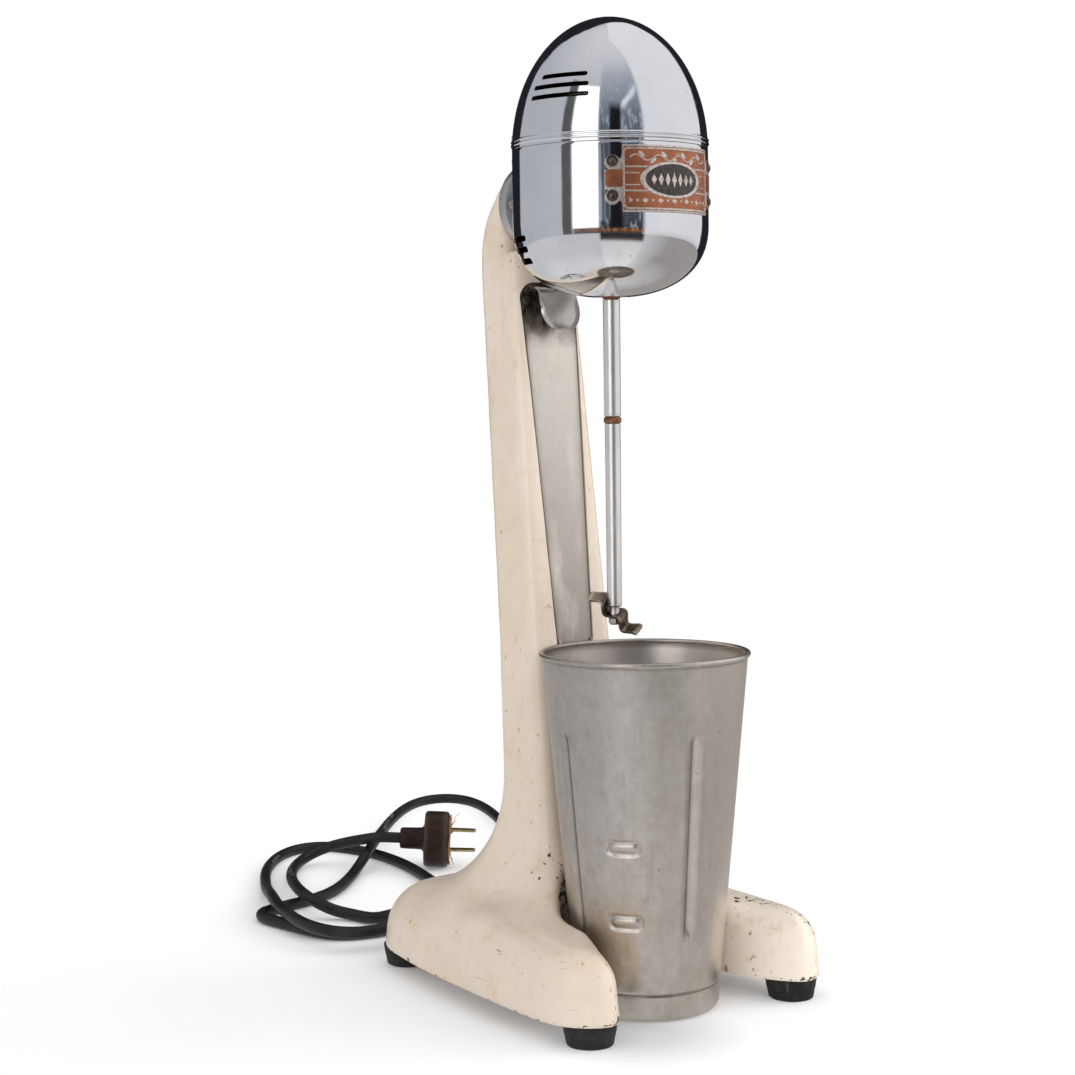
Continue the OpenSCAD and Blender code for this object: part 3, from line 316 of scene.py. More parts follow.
def mat_strip():
    def shade(m, col):
        x, y, z = m.xyz()
        # smudges over the lower part, which is also painted darker there for the shade of the cup
        k = m.math("SUBTRACT", 1.0, step(m, z, 165, 330))
        sm = m.noise(0.045, 4, 0.6, m.scale(m.P, (1.6, 1.6, 0.45), (3, 2, 9)))
        col = m.mix(m.math("MULTIPLY", m.math("MULTIPLY", k, step(m, sm, 0.12, 0.46)), 0.92), col, (0.40, 0.335, 0.305))
        # painted reflection and shadow of the hook: a near-black patch across the top of the strip
        top = m.math("MULTIPLY", step(m, z, 325, 338), m.math("SUBTRACT", 1.0, m.math("MULTIPLY", step(m, z, 356, 372), 0.5)))
        so = m.noise(0.13, 5, 0.65, m.scale(m.P, (1, 1, 0.5), (1, 1, 4)))
        col = m.mix(m.math("MULTIPLY", m.math("MULTIPLY", top, step(m, so, 0.20, 0.54)), 0.95), col, (0.050, 0.038, 0.030))
        # darker along the edges and round the screw holes
        return m.mix(m.math("MULTIPLY", m.attr("painted_shade_and_grime"), 1.0), col, (0.07, 0.055, 0.045))
    return brushed("guide_steel", (1.0, 0.93, 0.83), (0.86, 0.77, 0.67), (5.0, 5.0, 0.06), 0.40, 0.30, 0.12, 0.35, 0.35, 0.2, shade)


def mat_simple_metal(name, base, dark, rough0=0.25, spots=0.5, metal=1.0, edge=None):
    m = Mat(name)
    a = m.noise(0.22, 5, 0.65)
    b = m.noise(1.1, 4, 0.6)
    c = m.noise(3.2, 2, 0.5)
    col = m.mix(m.math("MULTIPLY", step(m, a, 0.40, 0.68), spots), base, dark)
    col = m.mix(m.math("MULTIPLY", step(m, b, 0.58, 0.74), spots), col, tuple(x * 0.45 for x in dark))
    rough = m.math("ADD", rough0, m.math("MULTIPLY", b, 0.22))
    n1 = m.bump(b, 0.25, 0.08)
    n2 = m.bump(c, 0.15, 0.03, n1)
    return m.set(color=col, metal=metal, rough=rough, normal=n2)


def mat_rubber(name="black_rubber", base=(0.013, 0.013, 0.012), dusty=(0.040, 0.038, 0.034), rough0=0.55):
    m = Mat(name)
    a = m.noise(0.11, 5, 0.65)
    b = m.noise(0.75, 4, 0.6)
    s = m.noise(0.5, 3, 0.6, m.scale(m.P, (1, 1, 0.12), (3, 1, 2)))
    col = m.mix(m.math("MULTIPLY", step(m, a, 0.42, 0.70), 0.65), base, dusty)
    col = m.mix(m.math("MULTIPLY", step(m, b, 0.62, 0.74), 0.55), col, tuple(c * 1.9 for c in dusty))
    col = m.mix(m.math("MULTIPLY", step(m, s, 0.64, 0.72), 0.5), col, tuple(c * 2.4 for c in dusty))
    rough = m.math("ADD", rough0, m.math("MULTIPLY", a, 0.25))
    n1 = m.bump(b, 0.35, 0.12)
    n2 = m.bump(m.noise(2.6, 3, 0.6), 0.25, 0.05, n1)
    return m.set(color=col, rough=rough, normal=n2, spec=0.25)


def mat_cord():
    m = Mat("cord_rubber")
    a = m.noise(0.06, 4, 0.6)
    b = m.noise(0.6, 4, 0.65)
    col = m.mix(m.math("MULTIPLY", step(m, a, 0.42, 0.70), 0.6), (0.010, 0.010, 0.010), (0.026, 0.025, 0.023))
    col = m.mix(m.math("MULTIPLY", step(m, b, 0.66, 0.78), 0.45), col, (0.15, 0.145, 0.135))
    mk = m.attr("print")
    col = m.mix(m.math("MULTIPLY", mk, step(m, m.noise(0.9, 3, 0.6), 0.44, 0.52)), col, (0.17, 0.165, 0.155))
    rough = m.math("ADD", 0.34, m.math("MULTIPLY", a, 0.22))
    n1 = m.bump(b, 0.22, 0.12)
    n2 = m.bump(m.noise(2.2, 3, 0.6), 0.22, 0.05, n1)
    return m.set(color=col, rough=rough, normal=n2, spec=0.30)


def mat_bakelite():
    m = Mat("brown_bakelite")
    a = m.noise(0.14, 5, 0.65, m.scale(m.P, (1, 1, 2.2)), 0.6)
    b = m.noise(0.9, 4, 0.6)
    col = m.mix(step(m, a, 0.36, 0.66), (0.014, 0.008, 0.007), (0.032, 0.016, 0.012))
    col = m.mix(m.math("MULTIPLY", step(m, b, 0.62, 0.74), 0.4), col, (0.11, 0.072, 0.052))
    w = m.attr("edge")
    col = m.mix(m.math("MULTIPLY", w, 0.35), col, (0.13, 0.085, 0.06))
    rough = m.math("ADD", 0.28, m.math("MULTIPLY", b, 0.25))
    return m.set(color=col, rough=rough, normal=m.bump(b, 0.3, 0.08), coat=0.05, coat_rough=0.2, spec=0.16)


def mat_plate():
    """Printed and etched plate: copper ground, raised bright lines, dark oval."""
    m = Mat("nameplate_copper")
    sil, drk, ht = m.attr("silver"), m.attr("dark"), m.attr("relief")
    a = m.noise(0.16, 5, 0.65)
    b = m.noise(0.9, 4, 0.6)
    c = m.noise(0.5, 4, 0.6, m.scale(m.P, (0.35, 0.35, 2.5)))
    cop = m.mix(step(m, a, 0.35, 0.66), (0.50, 0.175, 0.080), (0.33, 0.125, 0.068))
    cop = m.mix(m.math("MULTIPLY", step(m, b, 0.56, 0.72), 0.5), cop, (0.15, 0.085, 0.06))
    cop = m.mix(m.math("MULTIPLY", step(m, c, 0.60, 0.74), 0.5), cop, (0.62, 0.47, 0.38))
    silc = m.mix(step(m, b, 0.40, 0.66), (0.74, 0.70, 0.66), (0.45, 0.38, 0.33))
    wearoff = step(m, m.noise(0.33, 4, 0.65, m.scale(m.P, (1, 1, 1), (2, 2, 5))), 0.56, 0.66)
    silm = m.math("MULTIPLY", sil, m.math("SUBTRACT", 1.0, m.math("MULTIPLY", wearoff, 0.55)))
    drkc = m.mix(step(m, b, 0.45, 0.72), (0.020, 0.018, 0.017), (0.075, 0.06, 0.05))
    col = m.mix(silm, cop, silc)
    col = m.mix(drk, col, drkc)
    rough = m.math("ADD", 0.24, m.math("MULTIPLY", b, 0.26))
    met = m.math("SUBTRACT", 0.85, m.math("MULTIPLY", drk, 0.7))
    n1 = m.bump(b, 0.22, 0.05)
    return m.set(color=col, metal=met, rough=rough, normal=n1)


def mat_rusty():
    m = Mat("rusty_steel")
    a = m.noise(0.35, 5, 0.65)
    b = m.noise(1.6, 4, 0.6)
    col = m.ramp(a, [(0.30, (0.05, 0.025, 0.015)), (0.50, (0.20, 0.075, 0.03)), (0.68, (0.33, 0.17, 0.09))])
    rough = m.math("ADD", 0.5, m.math("MULTIPLY", b, 0.3))
    return m.set(color=col, metal=0.35, rough=rough, normal=m.bump(b, 0.6, 0.15))


def mat_agitator():
    m = Mat("aged_brass")
    a = m.noise(0.20, 5, 0.65, None, 0.4)
    b = m.noise(1.1, 4, 0.6)
    col = m.ramp(a, [(0.32, (0.045, 0.035, 0.030)), (0.50, (0.155, 0.118, 0.090)), (0.68, (0.34, 0.27, 0.20))])
    # brighter edges and a painted highlight over one end, from the edge attribute
    col = m.mix(m.math("MULTIPLY", m.attr("edge"), 0.8), col, (0.62, 0.54, 0.42))
    col = m.mix(m.math("MULTIPLY", step(m, b, 0.60, 0.72), 0.5), col, (0.035, 0.027, 0.022))
    rough = m.math("ADD", 0.20, m.math("MULTIPLY", b, 0.22))
    return m.set(color=col, metal=1.0, rough=rough, normal=m.bump(b, 0.3, 0.08))


def mat_paper():
    m = Mat("fibre_board")
    a = m.noise(0.5, 5, 0.7)
    b = m.noise(2.0, 4, 0.7)
    col = m.ramp(a, [(0.3, (0.11, 0.035, 0.015)), (0.5, (0.30, 0.12, 0.05)), (0.7, (0.48, 0.27, 0.15))])
    return m.set(color=col, rough=0.8, normal=m.bump(b, 0.5, 0.15))


def mat_floor():
    m = Mat("stage_floor")
    return m


MAT = {
    "cream_enamel": mat_enamel(),
    "mirror_chrome": mat_chrome(),
    "cup_steel": mat_cup(),
    "guide_steel": mat_strip(),
    "plated_steel": mat_simple_metal("plated_steel", (0.60, 0.58, 0.55), (0.20, 0.16, 0.13), 0.24, 0.6),
    "spindle_steel": brushed("spindle_steel", (1.0, 0.985, 0.965), (0.62, 0.57, 0.52), (6, 6, 0.10), 0.5, 0.27, 0.12, 0.4, 0.5, 0.2),
    "hook_steel": brushed("hook_steel", (0.66, 0.63, 0.60), (0.42, 0.37, 0.33), (3, 3, 0.5), 0.45, 0.16, 0.12, 0.5, 0.4, 0.2),
    "black_rubber": mat_rubber(),
    "cord_rubber": mat_cord(),
    "brown_bakelite": mat_bakelite(),
    "fibre_board": mat_paper(),
    "brass_blade": mat_simple_metal("brass_blade", (0.62, 0.50, 0.26), (0.22, 0.16, 0.09), 0.24, 0.75),
    "wire_cover": mat_rubber("wire_cover", (0.03, 0.03, 0.03), (0.06, 0.06, 0.055)),
    "cast_grey": brushed("cast_grey", (0.64, 0.64, 0.65), (0.42, 0.40, 0.38), (1, 1, 1), 0.6, 0.28, 0.16, 0.5, 0.6, 0.25),
    "nameplate_copper": mat_plate(),
    "felt": mat_simple_metal("felt", (0.42, 0.38, 0.30), (0.25, 0.21, 0.15), 0.8, 0.6, 0.0),
    "lamination_steel": mat_simple_metal("lamination_steel", (0.36, 0.36, 0.37), (0.16, 0.13, 0.11), 0.35, 0.6),
    "copper_winding": mat_simple_metal("copper_winding", (0.58, 0.24, 0.11), (0.28, 0.10, 0.05), 0.3, 0.6),
    "carbon": mat_simple_metal("carbon", (0.05, 0.05, 0.052), (0.02, 0.02, 0.02), 0.45, 0.6, 0.3),
    "rusty_steel": mat_rusty(),
    "aged_brass": mat_agitator(),
    "dark_steel": mat_simple_metal("dark_steel", (0.075, 0.068, 0.062), (0.14, 0.085, 0.05), 0.38, 0.6, 0.8),
    "red_plastic": mat_simple_metal("red_plastic", (0.35, 0.05, 0.035), (0.2, 0.03, 0.02), 0.35, 0.4, 0.0),
    "slot_edge": mat_simple_metal("slot_edge", (0.42, 0.26, 0.19), (0.16, 0.08, 0.05), 0.3, 0.7),
    "shell_inside": mat_simple_metal("shell_inside", (0.030, 0.028, 0.026), (0.015, 0.013, 0.012), 0.6, 0.5, 0.4),
}

# ---------------------------------------------------------------- mesh tools

LA = math.atan(0.113)
SL, CL = math.sin(LA), math.cos(LA)


def lw(x, y, s):
    """Leaning face frame to the shared frame, arrays in millimetres."""
    x, y, s = np.broadcast_arrays(*[np.asarray(v, float) for v in (x, y, s)])
    return np.stack([x, 33.4 + s * SL + y * CL, 177 + s * CL - y * SL], -1)


def outward(V, q, t):
    """Turns the faces of a closed piece so that they look outwards."""
    tri = np.concatenate([t, q[:, [0, 1, 2]], q[:, [0, 2, 3]]])
    a, b, c = V[tri[:, 0]], V[tri[:, 1]], V[tri[:, 2]]
    if np.einsum("ij,ij->i", a - V[0], np.cross(b - V[0], c - V[0])).sum() < 0:
        return q[:, ::-1], t[:, ::-1]
    return q, t


def mesh(name, V, quads=None, tris=None, mats=("plated_steel",), body="stand", angle=35,
         attrs=None, rep=(), polys=None, fmat=None):
    V = np.asarray(V, float) * 0.001
    me = bpy.data.meshes.new(name)
    if polys is not None:
        me.from_pydata(V.tolist(), [], [list(map(int, p)) for p in polys])
        bm = bmesh.new()
        bm.from_mesh(me)
        bmesh.ops.recalc_face_normals(bm, faces=bm.faces)
        bm.to_mesh(me)
        bm.free()
    else:
        q = np.zeros((0, 4), np.int32) if quads is None else np.asarray(quads, np.int32).reshape(-1, 4)
        t = np.zeros((0, 3), np.int32) if tris is None else np.asarray(tris, np.int32).reshape(-1, 3)
        if body:
            q, t = outward(V, q, t)
        me.vertices.add(len(V))
        me.vertices.foreach_set("co", V.astype(np.float32).ravel())
        li = np.concatenate([q.ravel(), t.ravel()]).astype(np.int32)
        me.loops.add(len(li))
        me.loops.foreach_set("vertex_index", li)
        me.polygons.add(len(q) + len(t))
        st = np.concatenate([np.arange(len(q)) * 4, len(q) * 4 + np.arange(len(t)) * 3]).astype(np.int32)
        me.polygons.foreach_set("loop_start", st)
    me.update(calc_edges=True)
    if attrs:
        for k, a in attrs.items():
            at = me.attributes.new(k, "FLOAT", "POINT")
            at.data.foreach_set("value", np.asarray(a, np.float32).ravel())
    if fmat is not None:
        me.polygons.foreach_set("material_index", np.asarray(fmat, np.int32))
    me.validate()
    me.shade_smooth()
    if angle is not None:
        me.set_sharp_from_angle(angle=math.radians(angle))
    for mn in mats:
        me.materials.append(MAT[mn])
    ob = bpy.data.objects.new(name, me)
    scene.collection.objects.link(ob)
    if body:
        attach(ob, body)
        for n in rep:
            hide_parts(n)
    return ob


def gq(n, m, cu=False, cv=False, flip=False, base=0):
    """Quads of an n by m grid of points, optionally closed in either direction."""
    i = np.arange(n if cu else n - 1)
    j = np.arange(m if cv else m - 1)
    I, J = np.meshgrid(i, j, indexing="ij")
    I, J = I.ravel(), J.ravel()
    I2, J2 = (I + 1) % n, (J + 1) % m
    q = np.stack([I * m + J, I2 * m + J, I2 * m + J2, I * m + J2], 1) + base
    return q[:, ::-1] if flip else q


def merge(parts):
    """Joins (V, quads, tris) lists into one."""
    Vs, Qs, Ts, b = [], [], [], 0
    for V, Q, T in parts:
        V = np.asarray(V, float).reshape(-1, 3)
        Vs.append(V)
        if Q is not None and len(Q):
            Qs.append(np.asarray(Q) + b)
        if T is not None and len(T):
            Ts.append(np.asarray(T) + b)
        b += len(V)
    return (np.concatenate(Vs), np.concatenate(Qs) if Qs else None, np.concatenate(Ts) if Ts else None)


def dense(prof, h):
    """Adds points along a polyline so that no piece is longer than h."""
    out = []
    for a, b in zip(prof[:-1], prof[1:]):
        a, b = np.asarray(a, float), np.asarray(b, float)
        k = max(1, int(math.ceil(np.linalg.norm(b - a) / h)))
        out += [a + (b - a) * i / k for i in range(k)]
    return np.array(out + [np.asarray(prof[-1], float)])


def fillet(pts, r, seg=4, closed=False):
    """Rounds the corners of a 2-D polyline by r (one number or one per point)."""
    pts = [np.asarray(p, float) for p in pts]
    n = len(pts)
    r = [r] * n if np.isscalar(r) else list(r)
    out = []
    for i in range(n):
        if not closed and i in (0, n - 1):
            out.append(pts[i])
            continue
        a, b, c = pts[i - 1], pts[i], pts[(i + 1) % n]
        u, v = a - b, c - b
        lu, lv = np.linalg.norm(u), np.linalg.norm(v)
        u, v = u / lu, v / lv
        ang = math.acos(max(-1, min(1, float(u @ v))))
        if r[i] <= 0 or ang > math.radians(178):
            out.append(b)
            continue
        d = min(r[i] / math.tan(ang / 2), lu * 0.48, lv * 0.48)
        rr = d * math.tan(ang / 2)
        mid = (u + v) / np.linalg.norm(u + v)
        cen = b + mid * (rr / math.sin(ang / 2))
        p, q = b + u * d - cen, b + v * d - cen
        tot = math.acos(max(-1, min(1, float(p @ q) / (rr * rr))))
        sgn = 1 if p[0] * q[1] - p[1] * q[0] > 0 else -1
        for k in range(seg + 1):
            t = sgn * tot * k / seg
            out.append(cen + np.array([p[0] * math.cos(t) - p[1] * math.sin(t), p[0] * math.sin(t) + p[1] * math.cos(t)]))
    return np.array(out)


def revolve(prof, n=96, c=(0, 0), closed=False):
    """Turned shape about a vertical axis at c. An open profile starts and ends on the axis."""
    prof = np.asarray(prof, float)
    th = np.arange(n) * 2 * math.pi / n
    if closed:
        P = np.stack([c[0] + prof[None, :, 0] * np.cos(th)[:, None], c[1] + prof[None, :, 0] * np.sin(th)[:, None],
                      np.broadcast_to(prof[None, :, 1], (n, len(prof)))], -1)
        return P.reshape(-1, 3), gq(n, len(prof), True, True), None
    mid = prof[1:-1]
    m = len(mid)
    P = np.stack([c[0] + mid[None, :, 0] * np.cos(th)[:, None], c[1] + mid[None, :, 0] * np.sin(th)[:, None],
                  np.broadcast_to(mid[None, :, 1], (n, m))], -1).reshape(-1, 3)
    V = np.concatenate([P, [[c[0], c[1], prof[0, 1]], [c[0], c[1], prof[-1, 1]]]])
    i = np.arange(n)
    j = (i + 1) % n
    T = np.concatenate([np.stack([np.full(n, n * m), j * m, i * m], 1),
                        np.stack([np.full(n, n * m + 1), i * m + m - 1, j * m + m - 1], 1)])
    return V, gq(n, m, True, False), T


def turn(P, M):
    """Applies a 4x4 (millimetres) to points."""
    M = np.asarray(M, float)
    return np.asarray(P, float) @ M[:3, :3].T + M[:3, 3]


def axis_frame(origin, z):
    z = np.asarray(z, float)
    z = z / np.linalg.norm(z)
    x = np.cross([0, 0, 1] if abs(z[2]) < 0.9 else [1, 0, 0], z)
    x /= np.linalg.norm(x)
    y = np.cross(z, x)
    M = np.eye(4)
    M[:3, 0], M[:3, 1], M[:3, 2], M[:3, 3] = x, y, z, origin
    return M


def tube(path, rad, n=20, caps=True):
    path = np.asarray(path, float)
    t = np.gradient(path, axis=0)
    t /= np.linalg.norm(t, axis=1)[:, None]
    f = np.cross(t[0], [0, 0, 1] if abs(t[0][2]) < 0.9 else [1, 0, 0])
    F = []
    for k in range(len(path)):
        f = f - (f @ t[k]) * t[k]
        f /= np.linalg.norm(f)
        F.append(f.copy())
    F = np.array(F)
    G = np.cross(t, F)
    a = np.arange(n) * 2 * math.pi / n
    rad = np.broadcast_to(np.asarray(rad, float), (len(path),))
    P = path[:, None] + rad[:, None, None] * (np.cos(a)[None, :, None] * F[:, None] + np.sin(a)[None, :, None] * G[:, None])
    V = P.reshape(-1, 3)
    Q = gq(len(path), n, False, True)
    T = None
    if caps:
        m = len(V)
        V = np.concatenate([V, [path[0], path[-1]]])
        i = np.arange(n)
        j = (i + 1) % n
        e = (len(path) - 1) * n
        T = np.concatenate([np.stack([np.full(n, m), i, j], 1), np.stack([np.full(n, m + 1), e + j, e + i], 1)])
    return V, Q, T


def slab_grid(top, thick_dir, t):
    """A sheet: grid top (n, m, 3) and its copy t further along thick_dir (n, m, 3), closed round the edge."""
    n, m = top.shape[:2]
    bot = top + thick_dir * t
    V = np.concatenate([top.reshape(-1, 3), bot.reshape(-1, 3)])
    b = n * m
    Q = [gq(n, m), gq(n, m, flip=True, base=b)]
    idx = np.arange(n * m).reshape(n, m)
    loop = np.concatenate([idx[0, :-1], idx[:-1, -1], idx[-1, :0:-1], idx[:0:-1, 0]])
    nx = np.roll(loop, -1)
    Q.append(np.stack([loop, nx, nx + b, loop + b], 1))
    return V, np.concatenate(Q), None


def prism(poly, z0, z1, fn=None):
    """Solid between z0 and z1 over a 2-D outline; fn maps (x, y, z) arrays to the shared frame."""
    poly = np.asarray(poly, float)
    n = len(poly)
    A = np.concatenate([np.column_stack([poly, np.full(n, z0)]), np.column_stack([poly, np.full(n, z1)])])
    if fn is not None:
        A = fn(A)
    F = [[i, (i + 1) % n, (i + 1) % n + n, i + n] for i in range(n)]
    return A, F + [list(range(n))[::-1], list(range(n, 2 * n))]


def cutter(name, V, polys):
    me = bpy.data.meshes.new(name)
    me.from_pydata((np.asarray(V) * 0.001).tolist(), [], [list(map(int, p)) for p in polys])
    me.update()
    bm = bmesh.new()
    bm.from_mesh(me)
    bmesh.ops.recalc_face_normals(bm, faces=bm.faces)
    bm.to_mesh(me)
    bm.free()
    ob = bpy.data.objects.new(name, me)
    scene.collection.objects.link(ob)
    return ob


def cut(ob, tools, solver="MANIFOLD"):
    """Subtracts the tools from ob and applies the result."""
    for t in tools:
        for sv in (solver, "EXACT"):
            before = len(ob.data.polygons)
            md = ob.modifiers.new("cut", "BOOLEAN")
            md.operation = "DIFFERENCE"
            try:
                md.solver = sv
            except TypeError:
                md.solver = "EXACT"
            md.object = t
            dg = bpy.context.evaluated_depsgraph_get()
            dg.update()
            new = bpy.data.meshes.new_from_object(ob.evaluated_get(dg), preserve_all_data_layers=True, depsgraph=dg)
            ob.modifiers.remove(md)
            if len(new.polygons) > 0.3 * before and len(new.polygons) != before:
                old = ob.data
                ob.data = new
                bpy.data.meshes.remove(old)
                break
            print("CUT", ob.name, t.name, sv, "gave", len(new.polygons), "of", before)
            bpy.data.meshes.remove(new)
    for t in tools:
        me = t.data
        bpy.data.objects.remove(t)
        bpy.data.meshes.remove(me)
    return ob

# ---------------------------------------------------------------- stand casting

PLAN = np.array([(0, 130), (38, 130), (52, 128), (62, 121), (68, 108), (70.5, 95), (75.5, 69), (79, 36), (82.5, -9),
                 (83.8, -37), (83.4, -50), (81, -59), (76.5, -66), (69.5, -72), (62, -74.5), (56, -71.5), (51.5, -65.5),
                 (47, -57.5), (43.2, -48), (40.6, -38)] + [(39.2 * math.cos(math.radians(a)), -23.5 + 39.2 * math.sin(math.radians(a)))
                                                          for a in range(-10, 91, 10)], float)
k_ = len(PLAN) - 10
for _ in range(3):
    q_ = [PLAN[0]]
    for a_, b_ in zip(PLAN[:k_ - 1], PLAN[1:k_]):
        q_ += [a_ * 0.75 + b_ * 0.25, a_ * 0.25 + b_ * 0.75]
    PLAN = np.vstack([q_, PLAN[k_ - 1:]])
    k_ = len(q_) + 1
SIDE = np.array([(13.4, 3), (55.46, 377.4), (63.6, 377.5), (63.6, 419), (66.5, 416), (70, 411.5), (74, 406), (78.5, 400.5),
                 (82.3, 395), (85, 389), (87, 382), (88, 374), (88, 364), (87, 352), (68.7, 175), (65.3, 123),
                 (62.5, 60), (62, 40), (62, 3)], float)


def sd_poly(px, py, poly, mirror=False):
    """Signed distance to a closed 2-D outline, inside negative."""
    n = len(poly)
    d = np.full(px.shape, 1e18)
    inside = np.zeros(px.shape, bool)
    for i in range(n):
        a, b = poly[i], poly[(i + 1) % n]
        if mirror and abs(a[0]) < 1e-6 and abs(b[0]) < 1e-6:
            continue
        ex, ey = b - a
        wx, wy = px - a[0], py - a[1]
        t = np.clip((wx * ex + wy * ey) / (ex * ex + ey * ey), 0, 1)
        d = np.minimum(d, (wx - t * ex) ** 2 + (wy - t * ey) ** 2)
    for i in range(n):
        a, b = poly[i], poly[(i + 1) % n]
        if a[1] == b[1]:
            continue
        c = (a[1] > py) != (b[1] > py)
        xi = a[0] + (py - a[1]) * (b[0] - a[0]) / (b[1] - a[1])
        inside ^= c & (px < xi)
    d = np.sqrt(d)
    return np.where(inside, -d, d)


def sstep(v, a, b):
    t = np.clip((v - a) / (b - a), 0, 1)
    return t * t * (3 - 2 * t)


def smin(a, b, k):
    h = np.clip(k - np.abs(a - b), 0, None) / k
    return np.minimum(a, b) - h * h * k * 0.25


def smax(a, b, k):
    return -smin(-a, -b, k)


def rounded(a, b, r):
    a, b = a + r, b + r
    return np.minimum(np.maximum(a, b), 0) + np.hypot(np.maximum(a, 0), np.maximum(b, 0)) - r


def half_w(z):
    return np.interp(z, [0, 50, 177, 354, 440], [30.2, 28.3, 25.5, 21.0, 21.0])


def stand_sdf(x, y, z, dp=None, ds=None):
    """Distance field of the casting, x is taken on the right half."""
    x = np.abs(x)
    if dp is None:
        dp = sd_poly(x, y, PLAN, True)
    if ds is None:
        ds = sd_poly(y, z, SIDE)
    # column: its width outline with the round top, crossed with its side outline
    dx = np.where(z > 400, np.hypot(x, z - 400) - 21, x - half_w(z))
    mid = 13.4 + 0.1123 * z + 20
    r = 7.2 + 0.6 * sstep(y, mid - 8, mid + 12)
    r = r - 4.5 * sstep(z, 384, 396) * (1 - sstep(y, 66, 74))
    col = rounded(dx, ds, r)
    # base: plan outline with draft, under a gently crowned top
    far = np.sqrt(np.maximum(x - 20, 0) ** 2 + np.maximum(np.abs(y - 42) - 18, 0) ** 2 + 100) - 10
    top = 42.6 + 15.0 * np.exp(-far / 26.0) - 1.0 * sstep(y, 90, 130)
    rr = 15.0 + 6.0 * sstep(y, 30, 90)
    # the inner edge beside the column stays crisp
    inn = sstep(np.hypot(x, y + 23.5) - 39.2, 24, 6) * sstep(y, -58, -18)
    rr = rr + (5.0 - rr) * inn
    base = rounded(dp + 0.10 * (z - 11) + 0.7 * np.clip((12.8 - z) / 1.8, 0, 2) ** 2, z - top, rr)
    k = 32 + 18 * sstep(y, 22, 62)
    d = smin(col, base, k)
    # room for the cup
    cup = np.hypot(x, y + 23.5) - (39.1 + 0.105 * (z - 11))
    d = smax(d, -smax(cup, z - 66, 10), 3.0)
    # flat seat for the head and the flat underside
    pad = np.maximum(63.5 - y, 0) * 0 + (63.5 - y)
    d = np.maximum(d, np.minimum(pad, z - 376.2))
    return np.maximum(d, 8.6 - z)


def surface_nets(F, org, h):
    S = F < 0
    c = np.zeros(tuple(s - 1 for s in F.shape), np.int8)
    for a in (0, 1):
        for b in (0, 1):
            for e in (0, 1):
                c += S[a:F.shape[0] - 1 + a, b:F.shape[1] - 1 + b, e:F.shape[2] - 1 + e]
    m = (c > 0) & (c < 8)
    I, J, K = np.nonzero(m)
    idx = np.full(m.shape, -1, np.int64)
    idx[I, J, K] = np.arange(len(I))
    acc = np.zeros((len(I), 3))
    cnt = np.zeros(len(I))
    cor = [(a, b, e) for a in (0, 1) for b in (0, 1) for e in (0, 1)]
    for p in cor:
        for ax in range(3):
            if p[ax]:
                continue
            q = list(p)
            q[ax] = 1
            fa = F[I + p[0], J + p[1], K + p[2]]
            fb = F[I + q[0], J + q[1], K + q[2]]
            x = (fa < 0) != (fb < 0)
            t = np.where(x, fa / np.where(x, fa - fb, 1), 0)
            pt = np.array(p, float)[None] + np.zeros((len(I), 3))
            pt[:, ax] += t
            acc[x] += pt[x]
            cnt[x] += 1
    V = org + h * (np.stack([I, J, K], 1) + acc / cnt[:, None])
    Q = []
    for ax in range(3):
        sl = [slice(None)] * 3
        s0, s1 = list(sl), list(sl)
        s0[ax], s1[ax] = slice(0, -1), slice(1, None)
        A, B = S[tuple(s0)], S[tuple(s1)]
        X = np.nonzero(A != B)
        u, v = (ax + 1) % 3, (ax + 2) % 3
        ok = (X[u] > 0) & (X[v] > 0) & (X[u] < F.shape[u] - 1) & (X[v] < F.shape[v] - 1)
        X = [w[ok] for w in X]
        pos = A[tuple(X)]

        def cell(du, dv):
            w = [X[0], X[1], X[2]]
            w[u], w[v] = w[u] - du, w[v] - dv
            return idx[w[0], w[1], w[2]]
        q = np.stack([cell(0, 0), cell(1, 0), cell(1, 1), cell(0, 1)], 1)
        Q.append(np.where(pos[:, None], q, q[:, ::-1]))
    return V, np.concatenate(Q)


def strip_half(s):
    return 11.5 + 5.9 * s / 178


def strip_outline(c):
    o = [(-strip_half(-84) - c, -84 - c), (strip_half(-84) + c, -84 - c)]
    w = strip_half(176)
    o += [(w - 8 + (8 + c) * math.cos(math.radians(a)), 175.5 + (8 + c) * math.sin(math.radians(a))) for a in range(0, 91, 9)]
    o += [(-w + 8 + (8 + c) * math.cos(math.radians(a)), 175.5 + (8 + c) * math.sin(math.radians(a))) for a in range(90, 181, 9)]
    return np.array(o)


def on_face(A):
    """(x, s, y) of a prism to the shared frame."""
    return lw(A[:, 0], A[:, 2], A[:, 1])


